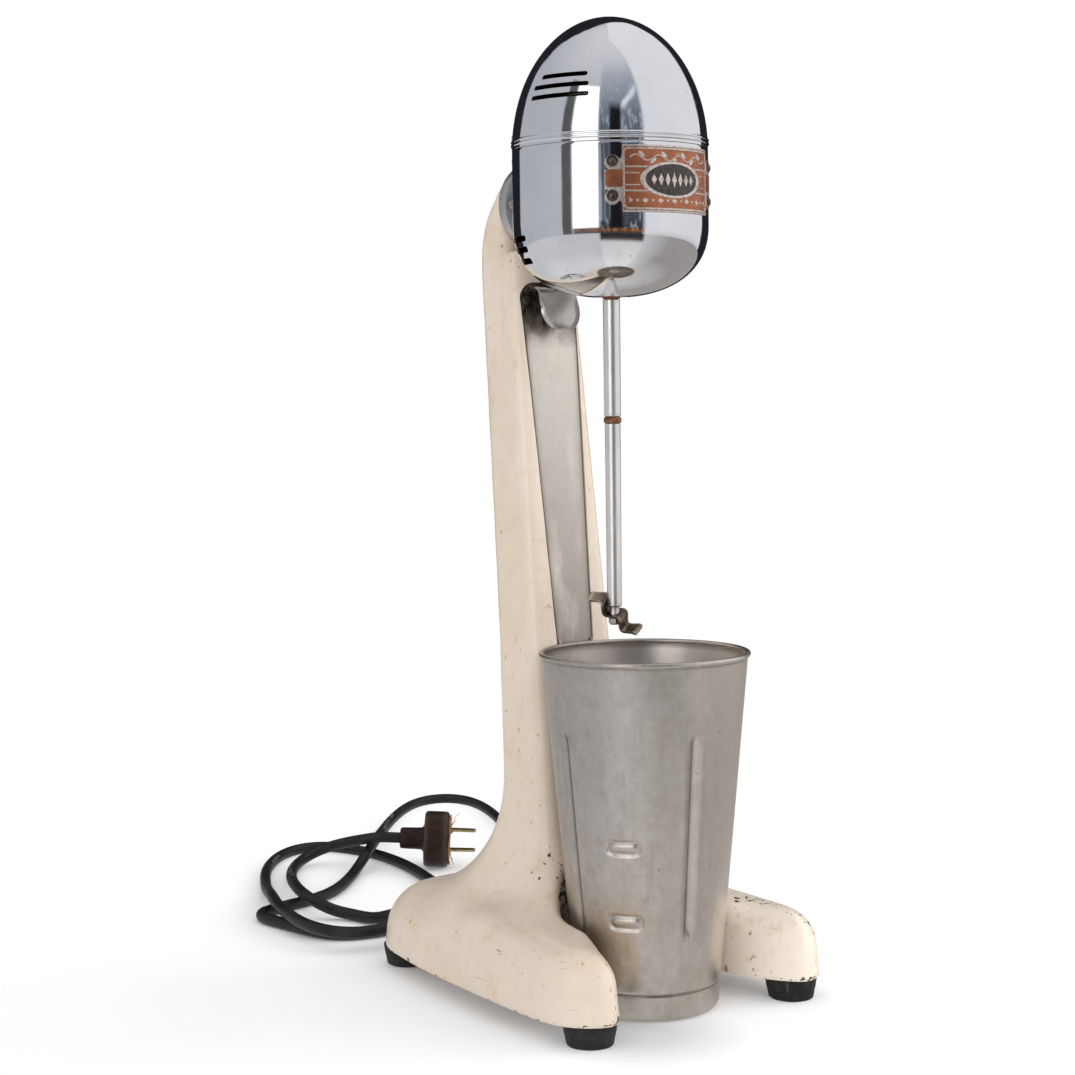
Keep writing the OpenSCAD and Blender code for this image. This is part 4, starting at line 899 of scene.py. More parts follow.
def build_stand():
    h = 1.45
    xs = np.arange(-92, 92.01, h)
    xs = xs - xs.mean()
    ys = np.arange(-80, 136, h)
    zs = np.arange(7.0, 428, h)
    nx = len(xs)
    hx = xs[nx // 2:] if nx % 2 else xs[nx // 2:]
    X2, Y2 = np.meshgrid(np.abs(hx), ys, indexing="ij")
    dp = sd_poly(X2, Y2, PLAN, True)[:, :, None]
    Y3, Z3 = np.meshgrid(ys, zs, indexing="ij")
    ds = sd_poly(Y3, Z3, SIDE)[None]
    F = np.maximum(stand_sdf(hx[:, None, None], ys[None, :, None], zs[None, None, :], dp, ds), -20).astype(np.float32)
    full = np.concatenate([F[::-1][: nx - len(hx)], F], 0)
    V, Q = surface_nets(full, np.array([xs[0], ys[0], zs[0]]), h)
    for _ in range(3):
        f = stand_sdf(V[:, 0], V[:, 1], V[:, 2])
        e = 0.05
        g = np.stack([(stand_sdf(V[:, 0] + e, V[:, 1], V[:, 2]) - f) / e,
                      (stand_sdf(V[:, 0], V[:, 1] + e, V[:, 2]) - f) / e,
                      (stand_sdf(V[:, 0], V[:, 1], V[:, 2] + e) - f) / e], 1)
        n2 = np.maximum((g * g).sum(1), 0.2)
        stp = np.clip(f / n2, -h * 0.6, h * 0.6)
        V = V - g * stp[:, None]
    # slight unevenness of a hand-finished sand casting
    x, y, z = V.T
    wob = (0.16 * np.sin(x * 0.071 + 1.3) * np.sin(y * 0.063 + 0.4) * np.sin(z * 0.041 + 2.0)
           + 0.10 * np.sin(x * 0.15 + z * 0.11) * np.sin(y * 0.13 + z * 0.07 + 1.0)) * sstep(z, 12, 18)
    nrm = g / np.linalg.norm(g, axis=1)[:, None]
    V = V + nrm * wob[:, None]
    # where paint is worn: lower rims, leg edges, the front edges low on the column
    up = nrm[:, 2]
    wear = 1.10 * np.exp(-np.clip(z - 11, 0, None) / 1.9)
    for cx, cy, cz, rad, amt in [(-25, 21, 62, 12, 0.78), (-27, 18, 47, 11, 0.85), (-31, 8, 44, 9, 0.78), (-25, 21, 80, 9, 0.55), (-28, 17, 51, 6, 0.74), (-33, 8, 45, 6, 0.62),
                                 (-56, -62, 30, 12, 0.30), (-60, -72, 14, 9, 0.50), (-48, -66, 14, 8, 0.45),
                                 (60, -40, 44, 20, 0.42), (66, -66, 40, 14, 0.52), (76, -58, 32, 15, 0.46), (48, -22, 45, 16, 0.46),
                                 (82, -60, 16, 12, 0.40), (62, -74, 15, 12, 0.42), (-40, 98, 44, 26, 0.20), (-72, 90, 14, 14, 0.30), (50, -10, 42, 9, 0.40), (72, -30, 44, 16, 0.42), (-52, -30, 46, 22, 0.20),
                                 (-54, 124, 13, 10, 0.42), (24, 42, 200, 40, 0.10), (0, 84, 300, 60, 0.08)]:
        wear += amt * np.exp(-((x - cx) ** 2 + (y - cy) ** 2 + (z - cz) ** 2) / rad ** 2)
    wear = np.clip(wear, 0, 0.95)
    ob = mesh("stand_casting_skin", V, Q, mats=("cream_enamel", "cast_grey"), attrs={"wear": wear}, angle=None,
              rep=("stand_casting",))
    A, P = prism(strip_outline(0.4), -3, 1.25, on_face)
    t1 = cutter("cut_channel", A, P)
    A, P = prism([(-4.2, 179.9), (4.2, 179.9), (4.2, 186.9), (-4.2, 186.9)], -3, 16, on_face)
    t2 = cutter("cut_lever", A, P)
    half = [(0, 121.3), (40, 121.3), (54.3, 116.3), (61.3, 104.3), (64.3, 60), (73.3, -5), (75.8, -50), (71.3, -63.3),
            (60, -65.3), (51.7, -58), (47.7, -44)]
    arc = [(46.2 * math.cos(math.radians(a)), -23.5 + 46.2 * math.sin(math.radians(a))) for a in range(-20, 91, 10)]
    right = half + arc
    plan = right + [(-px, py) for px, py in right[::-1] if px > 1e-6]
    A, P = prism(plan, 9, 13.6)
    t3 = cutter("cut_plate", A, P)
    A, P = prism([(-130, -130), (130, -130), (130, 190), (-130, 190)], 2, 11.0)
    t4 = cutter("cut_under", A, P)
    holes = []
    for sx in (-1, 1):
        a = np.radians(np.arange(0, 360, 15))
        c = np.column_stack([sx * 18.6 + 1.9 * np.cos(a), 400 + 1.9 * np.sin(a)])
        A, P = prism(c, 60, 72, lambda A: A[:, [0, 2, 1]])
        holes.append(cutter("cut_hole%d" % sx, A, P))
    a = np.radians(np.arange(0, 360, 15))
    A, P = prism(np.column_stack([6.5 * np.cos(a), 20 + 6.5 * np.sin(a)]), 108, 140, lambda A: A[:, [0, 2, 1]])
    holes.append(cutter("cut_cord", A, P))
    cut(ob, [t4, t1, t2, t3] + holes)
    ob.data.shade_smooth()
    ob.data.set_sharp_from_angle(angle=math.radians(42))
    return ob


build_stand()

# rubber feet: soft-edged buttons with a moulded groove and a screw recess
parts = []
for fx, fy in [(-63.7, -58.5), (63.7, -58.5), (-50, 115.6), (50, 115.6)]:
    pr = [(0, 4.5), (4.2, 4.5), (4.2, 0.5), (4.8, 0), (10.4, 0), (11.2, 0.6), (11.9, 4.2), (11.8, 4.8), (12.2, 5.2),
          (12.9, 9.6), (12.9, 10.8), (0, 10.8)]
    pr = np.vstack([pr[0], fillet(pr[1:-1], [0, 0.3, 0.4, 0.4, 0.7, 0.3, 0.2, 0.3, 0.6, 0], 3), pr[-1]])
    V, Q, T = revolve(dense(pr, 1.2), 64, (fx, fy))
    a = np.arctan2(V[:, 1] - fy, V[:, 0] - fx)
    rr = np.hypot(V[:, 1] - fy, V[:, 0] - fx)
    k = 1 + 0.012 * np.sin(3 * a + fx) + 0.008 * np.sin(7 * a + fy)
    V[:, 0] = fx + (V[:, 0] - fx) * k
    V[:, 1] = fy + (V[:, 1] - fy) * k
    V[:, 2] = np.clip(V[:, 2], 0, None)
    parts.append((V, Q, T))
V, Q, T = merge(parts)
mesh("rubber_feet_moulded", V, Q, T, mats=("black_rubber",), rep=("rubber_feet",), angle=50)

# ---------------------------------------------------------------- guide strip, hook


def strip_mesh():
    """Sheet with rounded top corners, softened edges, and openings for the hook and lever."""
    t = 1.2
    A, P = prism(strip_outline(0.0), 0, t, on_face)
    # build as a dense grid so that the sheet can carry its slight dents
    ns, nw = ((420, 60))
    s = np.concatenate([np.linspace(-84, 175.4, ns), 175.5 + 8 * np.sin(np.linspace(0.02, 1, 24) * math.pi / 2)])
    w = strip_half(np.minimum(s, 176))
    over = np.clip((s - 175.5) / 8, 0, 1)
    w = np.where(s > 175.5, w - 8 + 8 * np.sqrt(np.clip(1 - over ** 2, 0, 1)), w)
    bot = np.clip((s + 84) / 1.2, 0, 1)
    w = w - 1.2 * (1 - np.sqrt(np.clip(1 - (1 - bot) ** 2, 0, 1)))
    u = np.linspace(-1, 1, nw)
    u = np.sign(u) * (1 - (1 - np.abs(u)) ** 1.25)
    X = u[None] * w[:, None]
    S = np.broadcast_to(s[:, None], X.shape)
    edge = np.minimum(w[:, None] - np.abs(X), np.minimum(S + 84, 183.5 - S))
    dy = 0.28 * (1 - np.clip(edge / 0.6, 0, 1)) ** 2
    dy = dy + 0.05 * np.sin(S * 0.021 + 0.6) + 0.035 * np.sin(X * 0.17 + S * 0.013)
    top = lw(X, dy, S)
    back = np.broadcast_to(lw(0, 1, 0) - lw(0, 0, 0), top.shape)
    V, Q, _ = slab_grid(top, back, t - 0.1)
    # darker along the edges and round the screw holes
    g = 0.85 * np.exp(-np.clip(edge, 0, None) / 1.1)
    for sx in (-14.2, 14.2):
        g = np.maximum(g, 0.95 * np.exp(-((X - sx) ** 2 + (S - 174.6) ** 2) / 14))
    g = np.maximum(g, 0.8 * np.exp(-((X) ** 2 + (S + 17) ** 2) / 60))
    ob = mesh("guide_strip_sheet", V, Q, mats=("guide_steel",), rep=("guide_strip",), angle=40,
              attrs={"painted_shade_and_grime": np.concatenate([g.ravel(), g.ravel()])})
    A, P = prism([(-12.1, 179.3), (12.1, 179.3), (12.1, 181.3), (-12.1, 181.3)], -2, 4, on_face)
    t1 = cutter("cut_hook", A, P)
    A, P = prism([(-4.2, 179.3), (4.2, 179.3), (4.2, 187.3), (-4.2, 187.3)], -2, 4, on_face)
    t2 = cutter("cut_lev", A, P)
    tools = [t1, t2]
    a = np.radians(np.arange(0, 360, 15))
    for cx, cs in [(-14.2, 174.6), (14.2, 174.6), (0, -17), (0, -74)]:
        A, P = prism(np.column_stack([cx + 1.5 * np.cos(a), cs + 1.5 * np.sin(a)]), -2, 4, on_face)
        tools.append(cutter("cut_h", A, P))
    cut(ob, tools)
    ob.data.set_sharp_from_angle(angle=math.radians(40))


strip_mesh()


def hook_mesh():
    """Pressed hook: a tab behind the strip, a shelf through it, and a hanging rounded tongue with a flared lip."""
    t = 1.2
    R = 4.2
    sh = 180.9
    path = [np.array([2.2 - 0.0, sh])]
    path += [np.array([y, sh]) for y in np.linspace(1.6, -9.2 + R, 12)]
    cen = np.array([-9.2 + R, sh - R])
    path += [cen + R * np.array([math.cos(a), math.sin(a)]) for a in np.radians(np.linspace(98, 180, 12))]
    low = 158.4
    path += [np.array([-9.2 - 1.3 * (1 - ((s - low) / (sh - R - 0.8 - low)) ** 1.6), s]) for s in np.linspace(sh - R - 0.8, low, 46)]
    path = np.array(path)
    n = len(path)
    nu = 49
    u = np.linspace(-1, 1, nu)
    hw = np.full(n, 11.8)
    s = path[:, 1]
    Rb = 9.5
    k = np.clip((low + Rb - s) / Rb, 0, 1)
    hw = 11.8 - Rb + Rb * np.sqrt(np.clip(1 - k ** 2, 0, 1)) * 1.0
    hw = np.where(s > low + Rb, 11.8, np.maximum(hw, 0.6))
    X = u[None] * hw[:, None]
    Y = np.broadcast_to(path[:, 0][:, None], X.shape).copy()
    S = np.broadcast_to(s[:, None], X.shape).copy()
    hang = sstep(np.arange(n), 16, 26)[:, None]
    # the tongue is dished: proud along the middle, lip flared out round the free edge
    ed = np.minimum(hw[:, None] - np.abs(X), np.where(hang > 0, S - low, 99))
    Y -= hang * 0.5 * np.clip(1 - (X / 11.8) ** 2, 0, 1) * sstep(182 - S, 1, 12)
    Y -= hang * 1.0 * np.exp(-np.clip(ed, 0, None) / 1.1) * sstep(176 - S, 0, 8)
    top = lw(X, Y, S)
    du = np.gradient(top, axis=1)
    dv = np.gradient(top, axis=0)
    nn = np.cross(du, dv)
    nn /= np.maximum(np.linalg.norm(nn, axis=2, keepdims=True), 1e-9)
    mid = nn[n // 2, nu // 2]
    out = lw(0, -1, 0) - lw(0, 0, 0)
    if mid @ out > 0:
        nn = -nn
    V, Q, _ = slab_grid(top, nn, t)
    ob = mesh("cup_hook_pressed", V, Q, mats=("hook_steel",), rep=("cup_hook",), angle=50)
    A, P = prism([(-3.8, 175.2), (3.8, 175.2), (3.8, 184.5), (-3.8, 184.5)], -8.1, -0.6, on_face)
    cut(ob, [cutter("cut_win", A, P)])
    tabx = 16.8
    c = fillet([(-tabx, 168), (tabx, 168), (tabx, 180.9), (-tabx, 180.9)], [2, 2, 4, 4], 4, True)
    A, P = prism(c, 1.35, 2.4, on_face)
    mesh("cup_hook_tab", A, polys=P, mats=("hook_steel",), angle=30)
    ob.data.set_sharp_from_angle(angle=math.radians(50))


hook_mesh()

# ---------------------------------------------------------------- head shells

HR = 49.3


def head_mask(V, c, out_n):
    return V


def shell(name, outer, inner, slots, mats, rep, extra=None):
    """Turned sheet shell between two profiles, with louvre openings."""
    n = 360
    prof = np.concatenate([outer, inner[::-1]])
    V, Q, _ = revolve(prof, n, closed=True)
    ob = mesh(name, V, Q, mats=mats, rep=rep, angle=None)
    tools = []
    for k, (z, a0, a1, hh, r0, r1) in enumerate(slots):
        # rounded-end slot swept round the axis; a0 and a1 in degrees from the front
        for m in (-1, 1):
            rad = hh / 2
            da = math.degrees(rad / HR)
            pts = []
            aa = np.linspace(a0 + da, a1 - da, 40)
            pts += [(a, z - rad) for a in aa]
            pts += [(a1 - da + da * math.cos(t), z + rad * math.sin(t)) for t in np.linspace(-math.pi / 2, math.pi / 2, 11)[1:-1]]
            pts += [(a, z + rad) for a in aa[::-1]]
            pts += [(a0 + da - da * math.cos(t), z - rad * math.sin(t)) for t in np.linspace(-math.pi / 2, math.pi / 2, 11)[1:-1]]
            pts = np.array(pts)
            th = np.radians(-90 + m * pts[:, 0])
            A0 = np.column_stack([r0 * np.cos(th), r0 * np.sin(th), pts[:, 1]])
            A1 = np.column_stack([r1 * np.cos(th), r1 * np.sin(th), pts[:, 1]])
            A = np.concatenate([A0, A1])
            c = len(pts)
            half = 38
            F = [[i, (i + 1) % c, (i + 1) % c + c, i + c] for i in range(c)]
            # caps as ladders of quads between the lower and upper edge
            lo = list(range(0, 40))
            hi = list(range(49 + 40 - 1, 49 - 1, -1))
            for q in range(39):
                F.append([lo[q], hi[q], hi[q + 1], lo[q + 1]])
                F.append([lo[q] + c, lo[q + 1] + c, hi[q + 1] + c, hi[q] + c])
            end = [39] + list(range(40, 49)) + [49]
            F.append(end[::-1])
            F.append([e + c for e in end])
            beg = [88] + list(range(89, c)) + [0]
            F.append(beg[::-1])
            F.append([e + c for e in beg])
            tools.append(cutter("louvre", A, F))
    if extra:
        tools += extra
    cut(ob, tools)
    return ob


def shade_shell(ob, prof_o, prof_i, z_ref, edge_mat=1, in_mat=2):
    """Exact normals for the turned faces; opening walls and the inside get their own material."""
    me = ob.data
    nf = len(me.polygons)
    nv = len(me.vertices)
    co = np.zeros(nv * 3, np.float32)
    me.vertices.foreach_get("co", co)
    co = co.reshape(-1, 3) * 1000.0
    fn = np.zeros(nf * 3, np.float32)
    me.polygons.foreach_get("normal", fn)
    fn = fn.reshape(-1, 3)
    ls = np.zeros(nf, np.int32)
    me.polygons.foreach_get("loop_start", ls)
    lt = np.zeros(nf, np.int32)
    me.polygons.foreach_get("loop_total", lt)
    lv = np.zeros(len(me.loops), np.int32)
    me.loops.foreach_get("vertex_index", lv)
    face = np.repeat(np.arange(nf), lt)
    r = np.hypot(co[:, 0], co[:, 1])
    q = np.column_stack([r, co[:, 2]])

    def prof_normal(prof):
        seg = prof[1:] - prof[:-1]
        nn = np.column_stack([seg[:, 1], -seg[:, 0]])
        nn /= np.linalg.norm(nn, axis=1)[:, None] + 1e-12
        pn = np.zeros_like(prof)
        pn[:-1] += nn
        pn[1:] += nn
        pn /= np.linalg.norm(pn, axis=1)[:, None] + 1e-12
        best = np.full(len(q), 1e18)
        res = np.zeros((len(q), 2))
        for i in range(len(seg)):
            a = prof[i]
            L = seg[i] @ seg[i]
            if L < 1e-12:
                continue
            t = np.clip(((q - a) @ seg[i]) / L, 0, 1)
            d = ((q - a - t[:, None] * seg[i]) ** 2).sum(1)
            b = d < best
            best[b] = d[b]
            res[b] = pn[i] * (1 - t[b])[:, None] + pn[i + 1] * t[b][:, None]
        res /= np.linalg.norm(res, axis=1)[:, None] + 1e-12
        return res, np.sqrt(best)

    no, do = prof_normal(prof_o)
    if no[:, 0].mean() < 0:
        no = -no
    cs = co[:, :2] / np.maximum(r, 1e-6)[:, None]
    N3 = np.column_stack([cs * no[:, :1], no[:, 1]])
    dot = (N3[lv] * fn[face]).sum(1)
    on = do[lv] < 0.05
    outer = on & (dot > 0.75)
    full = np.ones(nf, bool)
    np.logical_and.at(full, face, on)
    dmean = np.add.reduceat(dot, ls) / lt
    is_out = full & (dmean > 0.75)
    normals = fn[face].copy()
    sm = outer & is_out[face]
    normals[sm] = N3[lv][sm]
    inner = dmean < -0.6
    ins = inner[face]
    normals[ins] = -N3[lv][ins]
    mi = np.zeros(nf, np.int32)
    mi[np.abs(dmean) <= 0.75] = edge_mat
    mi[inner] = in_mat
    me.polygons.foreach_set("material_index", mi)
    me.shade_smooth()
    me.normals_split_custom_set(normals.tolist())
    me.update()


def superellipse(r, h, nn, zc, deg):
    a = np.radians(np.asarray(deg, float))
    return np.column_stack([r * np.cos(a) ** (2 / nn), zc - h * np.sin(a) ** (2 / nn)])


def resample(p, h):
    p = np.asarray(p, float)
    d = np.concatenate([[0], np.cumsum(np.linalg.norm(np.diff(p, axis=0), axis=1))])
    k = max(2, int(round(d[-1] / h)))
    t = np.linspace(0, d[-1], k + 1)
    return np.column_stack([np.interp(t, d, p[:, 0]), np.interp(t, d, p[:, 1])])


hh = 1.1
deg = np.linspace(0, 90, 500)
bo = superellipse(HR, 37, 2.35, 387, deg)
bo = bo[bo[:, 0] >= 8.6]
outer = np.vstack([dense([(HR - 0.25, 423.98), (HR, 423.6), (HR, 387)], hh)[:-1], resample(bo, hh)])
# a small rolled-in lip round the spindle hole
outer = np.vstack([outer, [(8.2, outer[-1, 1] + 0.15), (7.95, outer[-1, 1] + 0.6)]])
bi = superellipse(HR - 1, 36, 2.35, 387, deg)
bi = bi[bi[:, 0] >= 8.6]
inner = np.vstack([dense([(HR - 1, 423.98), (HR - 1, 387)], hh)[:-1], resample(bi, hh), [(7.95, 351.05)]])
low_slots = [(379.0, 98, 122.5, 3.0, 34, 60), (373.6, 98.5, 122, 3.0, 32, 60), (368.0, 99.5, 121.5, 3.0, 28, 60)]
a = np.radians(np.arange(0, 360, 12))
A, P = prism(np.column_stack([5 * np.cos(a), 400 + 5 * np.sin(a)]), 40, 60, lambda A: A[:, [0, 2, 1]])
low = shell("lower_shell_chrome", outer, inner, low_slots, ("mirror_chrome", "slot_edge", "shell_inside"), ("lower_shell",),
            [cutter("cut_bore", A, P)])
shade_shell(low, outer, inner, 387)

# domed cap with its two beads just above the seam
dd = np.linspace(0, 90, 500)
do_ = np.column_stack([HR * np.cos(np.radians(dd)), 424.15 + 67 * np.sin(np.radians(dd))])
cap_o = resample(do_, hh * 0.55)


def bead(p):
    z = p[:, 1]
    add = np.zeros(len(z))
    for zc in (426.4, 428.2):
        add = np.maximum(add, np.sqrt(np.clip(0.72 ** 2 - (z - zc) ** 2, 0, None)) - 0.12)
    return add


fine = np.concatenate([np.arange(424.15, 430.4, 0.13), []])
rz = HR * np.sqrt(np.clip(1 - ((fine - 424.15) / 67) ** 2, 0, 1))
foot = np.column_stack([rz, fine])
foot[:, 0] += np.clip(bead(foot), 0, None)
cap_o = np.vstack([[(HR - 0.3, 424.15)], foot[1:], cap_o[cap_o[:, 1] > 430.6]])
cap_o[-1, 0] = 0.02
ci = np.column_stack([(HR - 1) * np.cos(np.radians(dd)), 424.15 + 66 * np.sin(np.radians(dd))])
cap_i = resample(ci, hh)
cap_i[-1, 0] = 0.02
cap = shell("upper_cap_chrome", cap_o, cap_i,
            [(457.6, 52.6, 88.6, 2.3, 30, 60), (452.5, 51.4, 93.9, 2.3, 30, 60), (447.4, 50.9, 94.3, 2.3, 30, 60)],
            ("mirror_chrome", "slot_edge", "shell_inside"), ("upper_cap",))
shade_shell(cap, cap_o, cap_i, 424)

# ---------------------------------------------------------------- nameplate


def nameplate():
    """Etched plate bent to the shell. Its lines and ornament are a generic pattern, with no lettering."""
    nu, nvv = ((620, 280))
    ha = 41.6
    a = np.linspace(-ha, ha, nu)
    v = np.linspace(-16.25, 16.25, nvv)
    A, Vv = np.meshgrid(a, v, indexing="ij")
    U = np.radians(A) * 50.1

    def box(u, w, hu, hv, r):
        qx, qy = np.abs(u) - hu + r, np.abs(w) - hv + r
        return np.minimum(np.maximum(qx, qy), 0) + np.hypot(np.maximum(qx, 0), np.maximum(qy, 0)) - r

    hw = 50.1 * math.radians(ha)
    sil = np.zeros(U.shape)
    drk = np.zeros(U.shape)

    def band(d, w, soft=0.12):
        return np.clip((w / 2 - np.abs(d)) / soft + 0.5, 0, 1)

    core = hw - 9.2
    # main panel outline, and the outline of the whole plate
    e0 = box(U, Vv, hw, 16.25, 1.6)
    sil = np.maximum(sil, np.clip((e0 + 0.9) / 0.12 + 0.5, 0, 1))
    pan = box(U, Vv, core, 14.6, 2.6)
    sil = np.maximum(sil, band(pan, 0.9))
    # the end columns: bright, with a dark pocket round each rivet and a copper tongue between them
    endc = np.clip((np.abs(U) - core - 0.2) / 0.12 + 0.5, 0, 1)
    tong = box(np.abs(U) - core - 4.6, Vv, 4.9, 4.3, 0.7)
    sil = np.maximum(sil, endc * np.clip((tong - 0.0) / 0.12 + 0.5, 0, 1))
    sil = np.where(tong < -0.75, 0, sil)
    for vy in (-8.4, 8.4):
        d = np.hypot(np.abs(U) - 32.6, (Vv - vy))
        drk = np.maximum(drk, np.clip((2.9 - d) / 0.15 + 0.5, 0, 1))
    # two long rules that pass behind the oval
    ov = (np.hypot(U / 18.3, (Vv + 0.4) / 8.6) - 1) * 8.6
    for vy in (5.6, -6.0):
        sil = np.maximum(sil, band(Vv - vy, 0.75) * (np.abs(U) < hw - 1) * (pan < 0.2))
    sil = np.maximum(sil, band(Vv + 3.2, 0.45) * (np.abs(U) < hw - 10) * (np.abs(U) > 19))
    sil = np.maximum(sil, band(Vv - 2.6, 0.45) * (np.abs(U) < hw - 10) * (np.abs(U) > 19))
    # upper panel: a scroll of waves and leaves instead of lettering
    ph = U * 0.52
    vine = 10.1 + 1.35 * np.sin(ph)
    top = (np.abs(U) < core - 3) & (Vv > 6.4)
    sil = np.maximum(sil, band(Vv - vine, 0.62, 0.2) * top)
    for k in range(-7, 8):
        u0 = k * math.pi / 0.52
        if abs(u0) > core - 5:
            continue
        sgn = 1 if k % 2 == 0 else -1
        lu, lv = U - u0 - 0.0, Vv - (10.1 - sgn * 1.5)
        c, s_ = math.cos(0.7 * sgn), math.sin(0.7 * sgn)
        leaf = np.hypot((lu * c + lv * s_) / 2.1, (-lu * s_ + lv * c) / 0.95) - 1
        sil = np.maximum(sil, np.clip(-leaf / 0.15 + 0.3, 0, 1) * top)
    # lower panel: a row of small lozenges between two dots
    lowp = (np.abs(U) < core - 2.5) & (Vv < -7)
    for k in range(-6, 7):
        lu, lv = U - k * 4.1, Vv + 10.6
        if k % 2:
            g = np.hypot(lu, lv) - 0.62
        else:
            g = (np.abs(lu) / 1.7 + np.abs(lv) / 1.35 - 1) * 1.1
        sil = np.maximum(sil, np.clip(-g / 0.15 + 0.5, 0, 1) * lowp)
    # oval badge: dark ground, bright rim, a row of raised diamonds
    drk = np.where(ov < -0.2, 1, drk)
    sil = np.where(ov < -0.9, 0, sil)
    sil = np.maximum(sil, np.clip((0.62 - np.abs(ov + 0.35)) / 0.15 + 0.5, 0, 1) * (ov < 0.5))
    drk = np.where(np.abs(ov + 0.35) < 0.62, 0, drk)
    sil = np.where((ov > 0.3) & (ov < 0.65), np.minimum(sil, 0.25), sil)
    for k in range(-3, 4):
        lu, lv = U - k * 3.9, Vv + 0.4
        h = 4.0 - 0.42 * abs(k) * 1.1
        g = (np.abs(lu) / 1.45 + np.abs(lv) / h - 1) * 1.2
        mk = np.clip(-g / 0.15 + 0.5, 0, 1) * (ov < -1.5)
        sil = np.maximum(sil, mk)
        drk = drk * (1 - mk)
    relief = 0.26 * sil + 0.02 * (1 - sil) * (1 - drk) - 0.05 * drk
    edge = np.minimum(hw - np.abs(U), 16.25 - np.abs(Vv))
    crn = np.clip(e0 + 0.5, 0, 1)
    relief = relief - 0.25 * (1 - np.clip(edge / 0.5, 0, 1)) ** 2
    R = HR + 0.62 + relief
    th = np.radians(-90 + A)
    top3 = np.stack([R * np.cos(th), R * np.sin(th), 405.75 + Vv], -1)
    inn = np.stack([-np.cos(th), -np.sin(th), np.zeros_like(th)], -1)
    base = np.stack([(HR + 0.04) * np.cos(th), (HR + 0.04) * np.sin(th), 405.75 + Vv], -1)
    V, Q, _ = slab_grid(top3, inn, 0.5)
    n0 = nu * nvv
    V[n0:] = base.reshape(-1, 3)
    z = np.zeros(n0)
    ob = mesh("nameplate_etched", V, Q, mats=("nameplate_copper",), rep=("nameplate",), angle=55,
              attrs={"silver": np.concatenate([sil.ravel(), z]), "dark": np.concatenate([drk.ravel(), z]),
                     "relief": np.concatenate([relief.ravel(), z])})
    # the ends are nibbled to a round lobe at each rivet with a tongue between them
    tools = []
    for m in (-1, 1):
        for n in (-1, 1):
            th = math.radians(-90 + m * 37.3)
            d = np.array([math.cos(th), math.sin(th), 0])
            td = np.array([-math.sin(th), math.cos(th), 0]) * m
            arc = [(3.7 * math.cos(math.radians(q)), 8.4 + 3.7 * math.sin(math.radians(q))) for q in range(158, -61, -14)]
            pts = [(-5.0, 18.5), (-5.0, 13.2), (-4.6, 11.2)] + arc + [(2.3, 4.75), (5.2, 4.75), (5.2, 18.5)]
            A, P = prism(pts, 40, 58, lambda A: A[:, 2:3] * d + A[:, 0:1] * td + np.column_stack([A[:, 0] * 0, A[:, 0] * 0, 405 + n * A[:, 1]]))
            tools.append(cutter("cut_corner", A, P))
    cut(ob, tools)
    ob.data.set_sharp_from_angle(angle=math.radians(55))
    return ob


nameplate()

# domed drive rivets of the plate
parts = []
for z in (396.6, 413.4):
    for m in (-1, 1):
        th = math.radians(-90 + m * 37.3)
        d = np.array([math.cos(th), math.sin(th), 0])
        pr = [(0, 0.0), (1.95, 0.0), (2.0, 0.35)] + [(2.0 * math.cos(t), 0.35 + 1.0 * math.sin(t)) for t in np.linspace(0.15, 1.45, 9)] + [(0, 1.36)]
        V, Q, T = revolve(dense(pr, 0.4), 32)
        M = axis_frame(d * (HR + 0.75) + np.array([0, 0, z]), d)
        parts.append((turn(V, M), Q, T))
V, Q, T = merge(parts)
mesh("nameplate_rivets_domed", V, Q, T, mats=("aged_brass",), rep=("nameplate_rivets",), angle=50)

# ---------------------------------------------------------------- cup

CY = -23.5


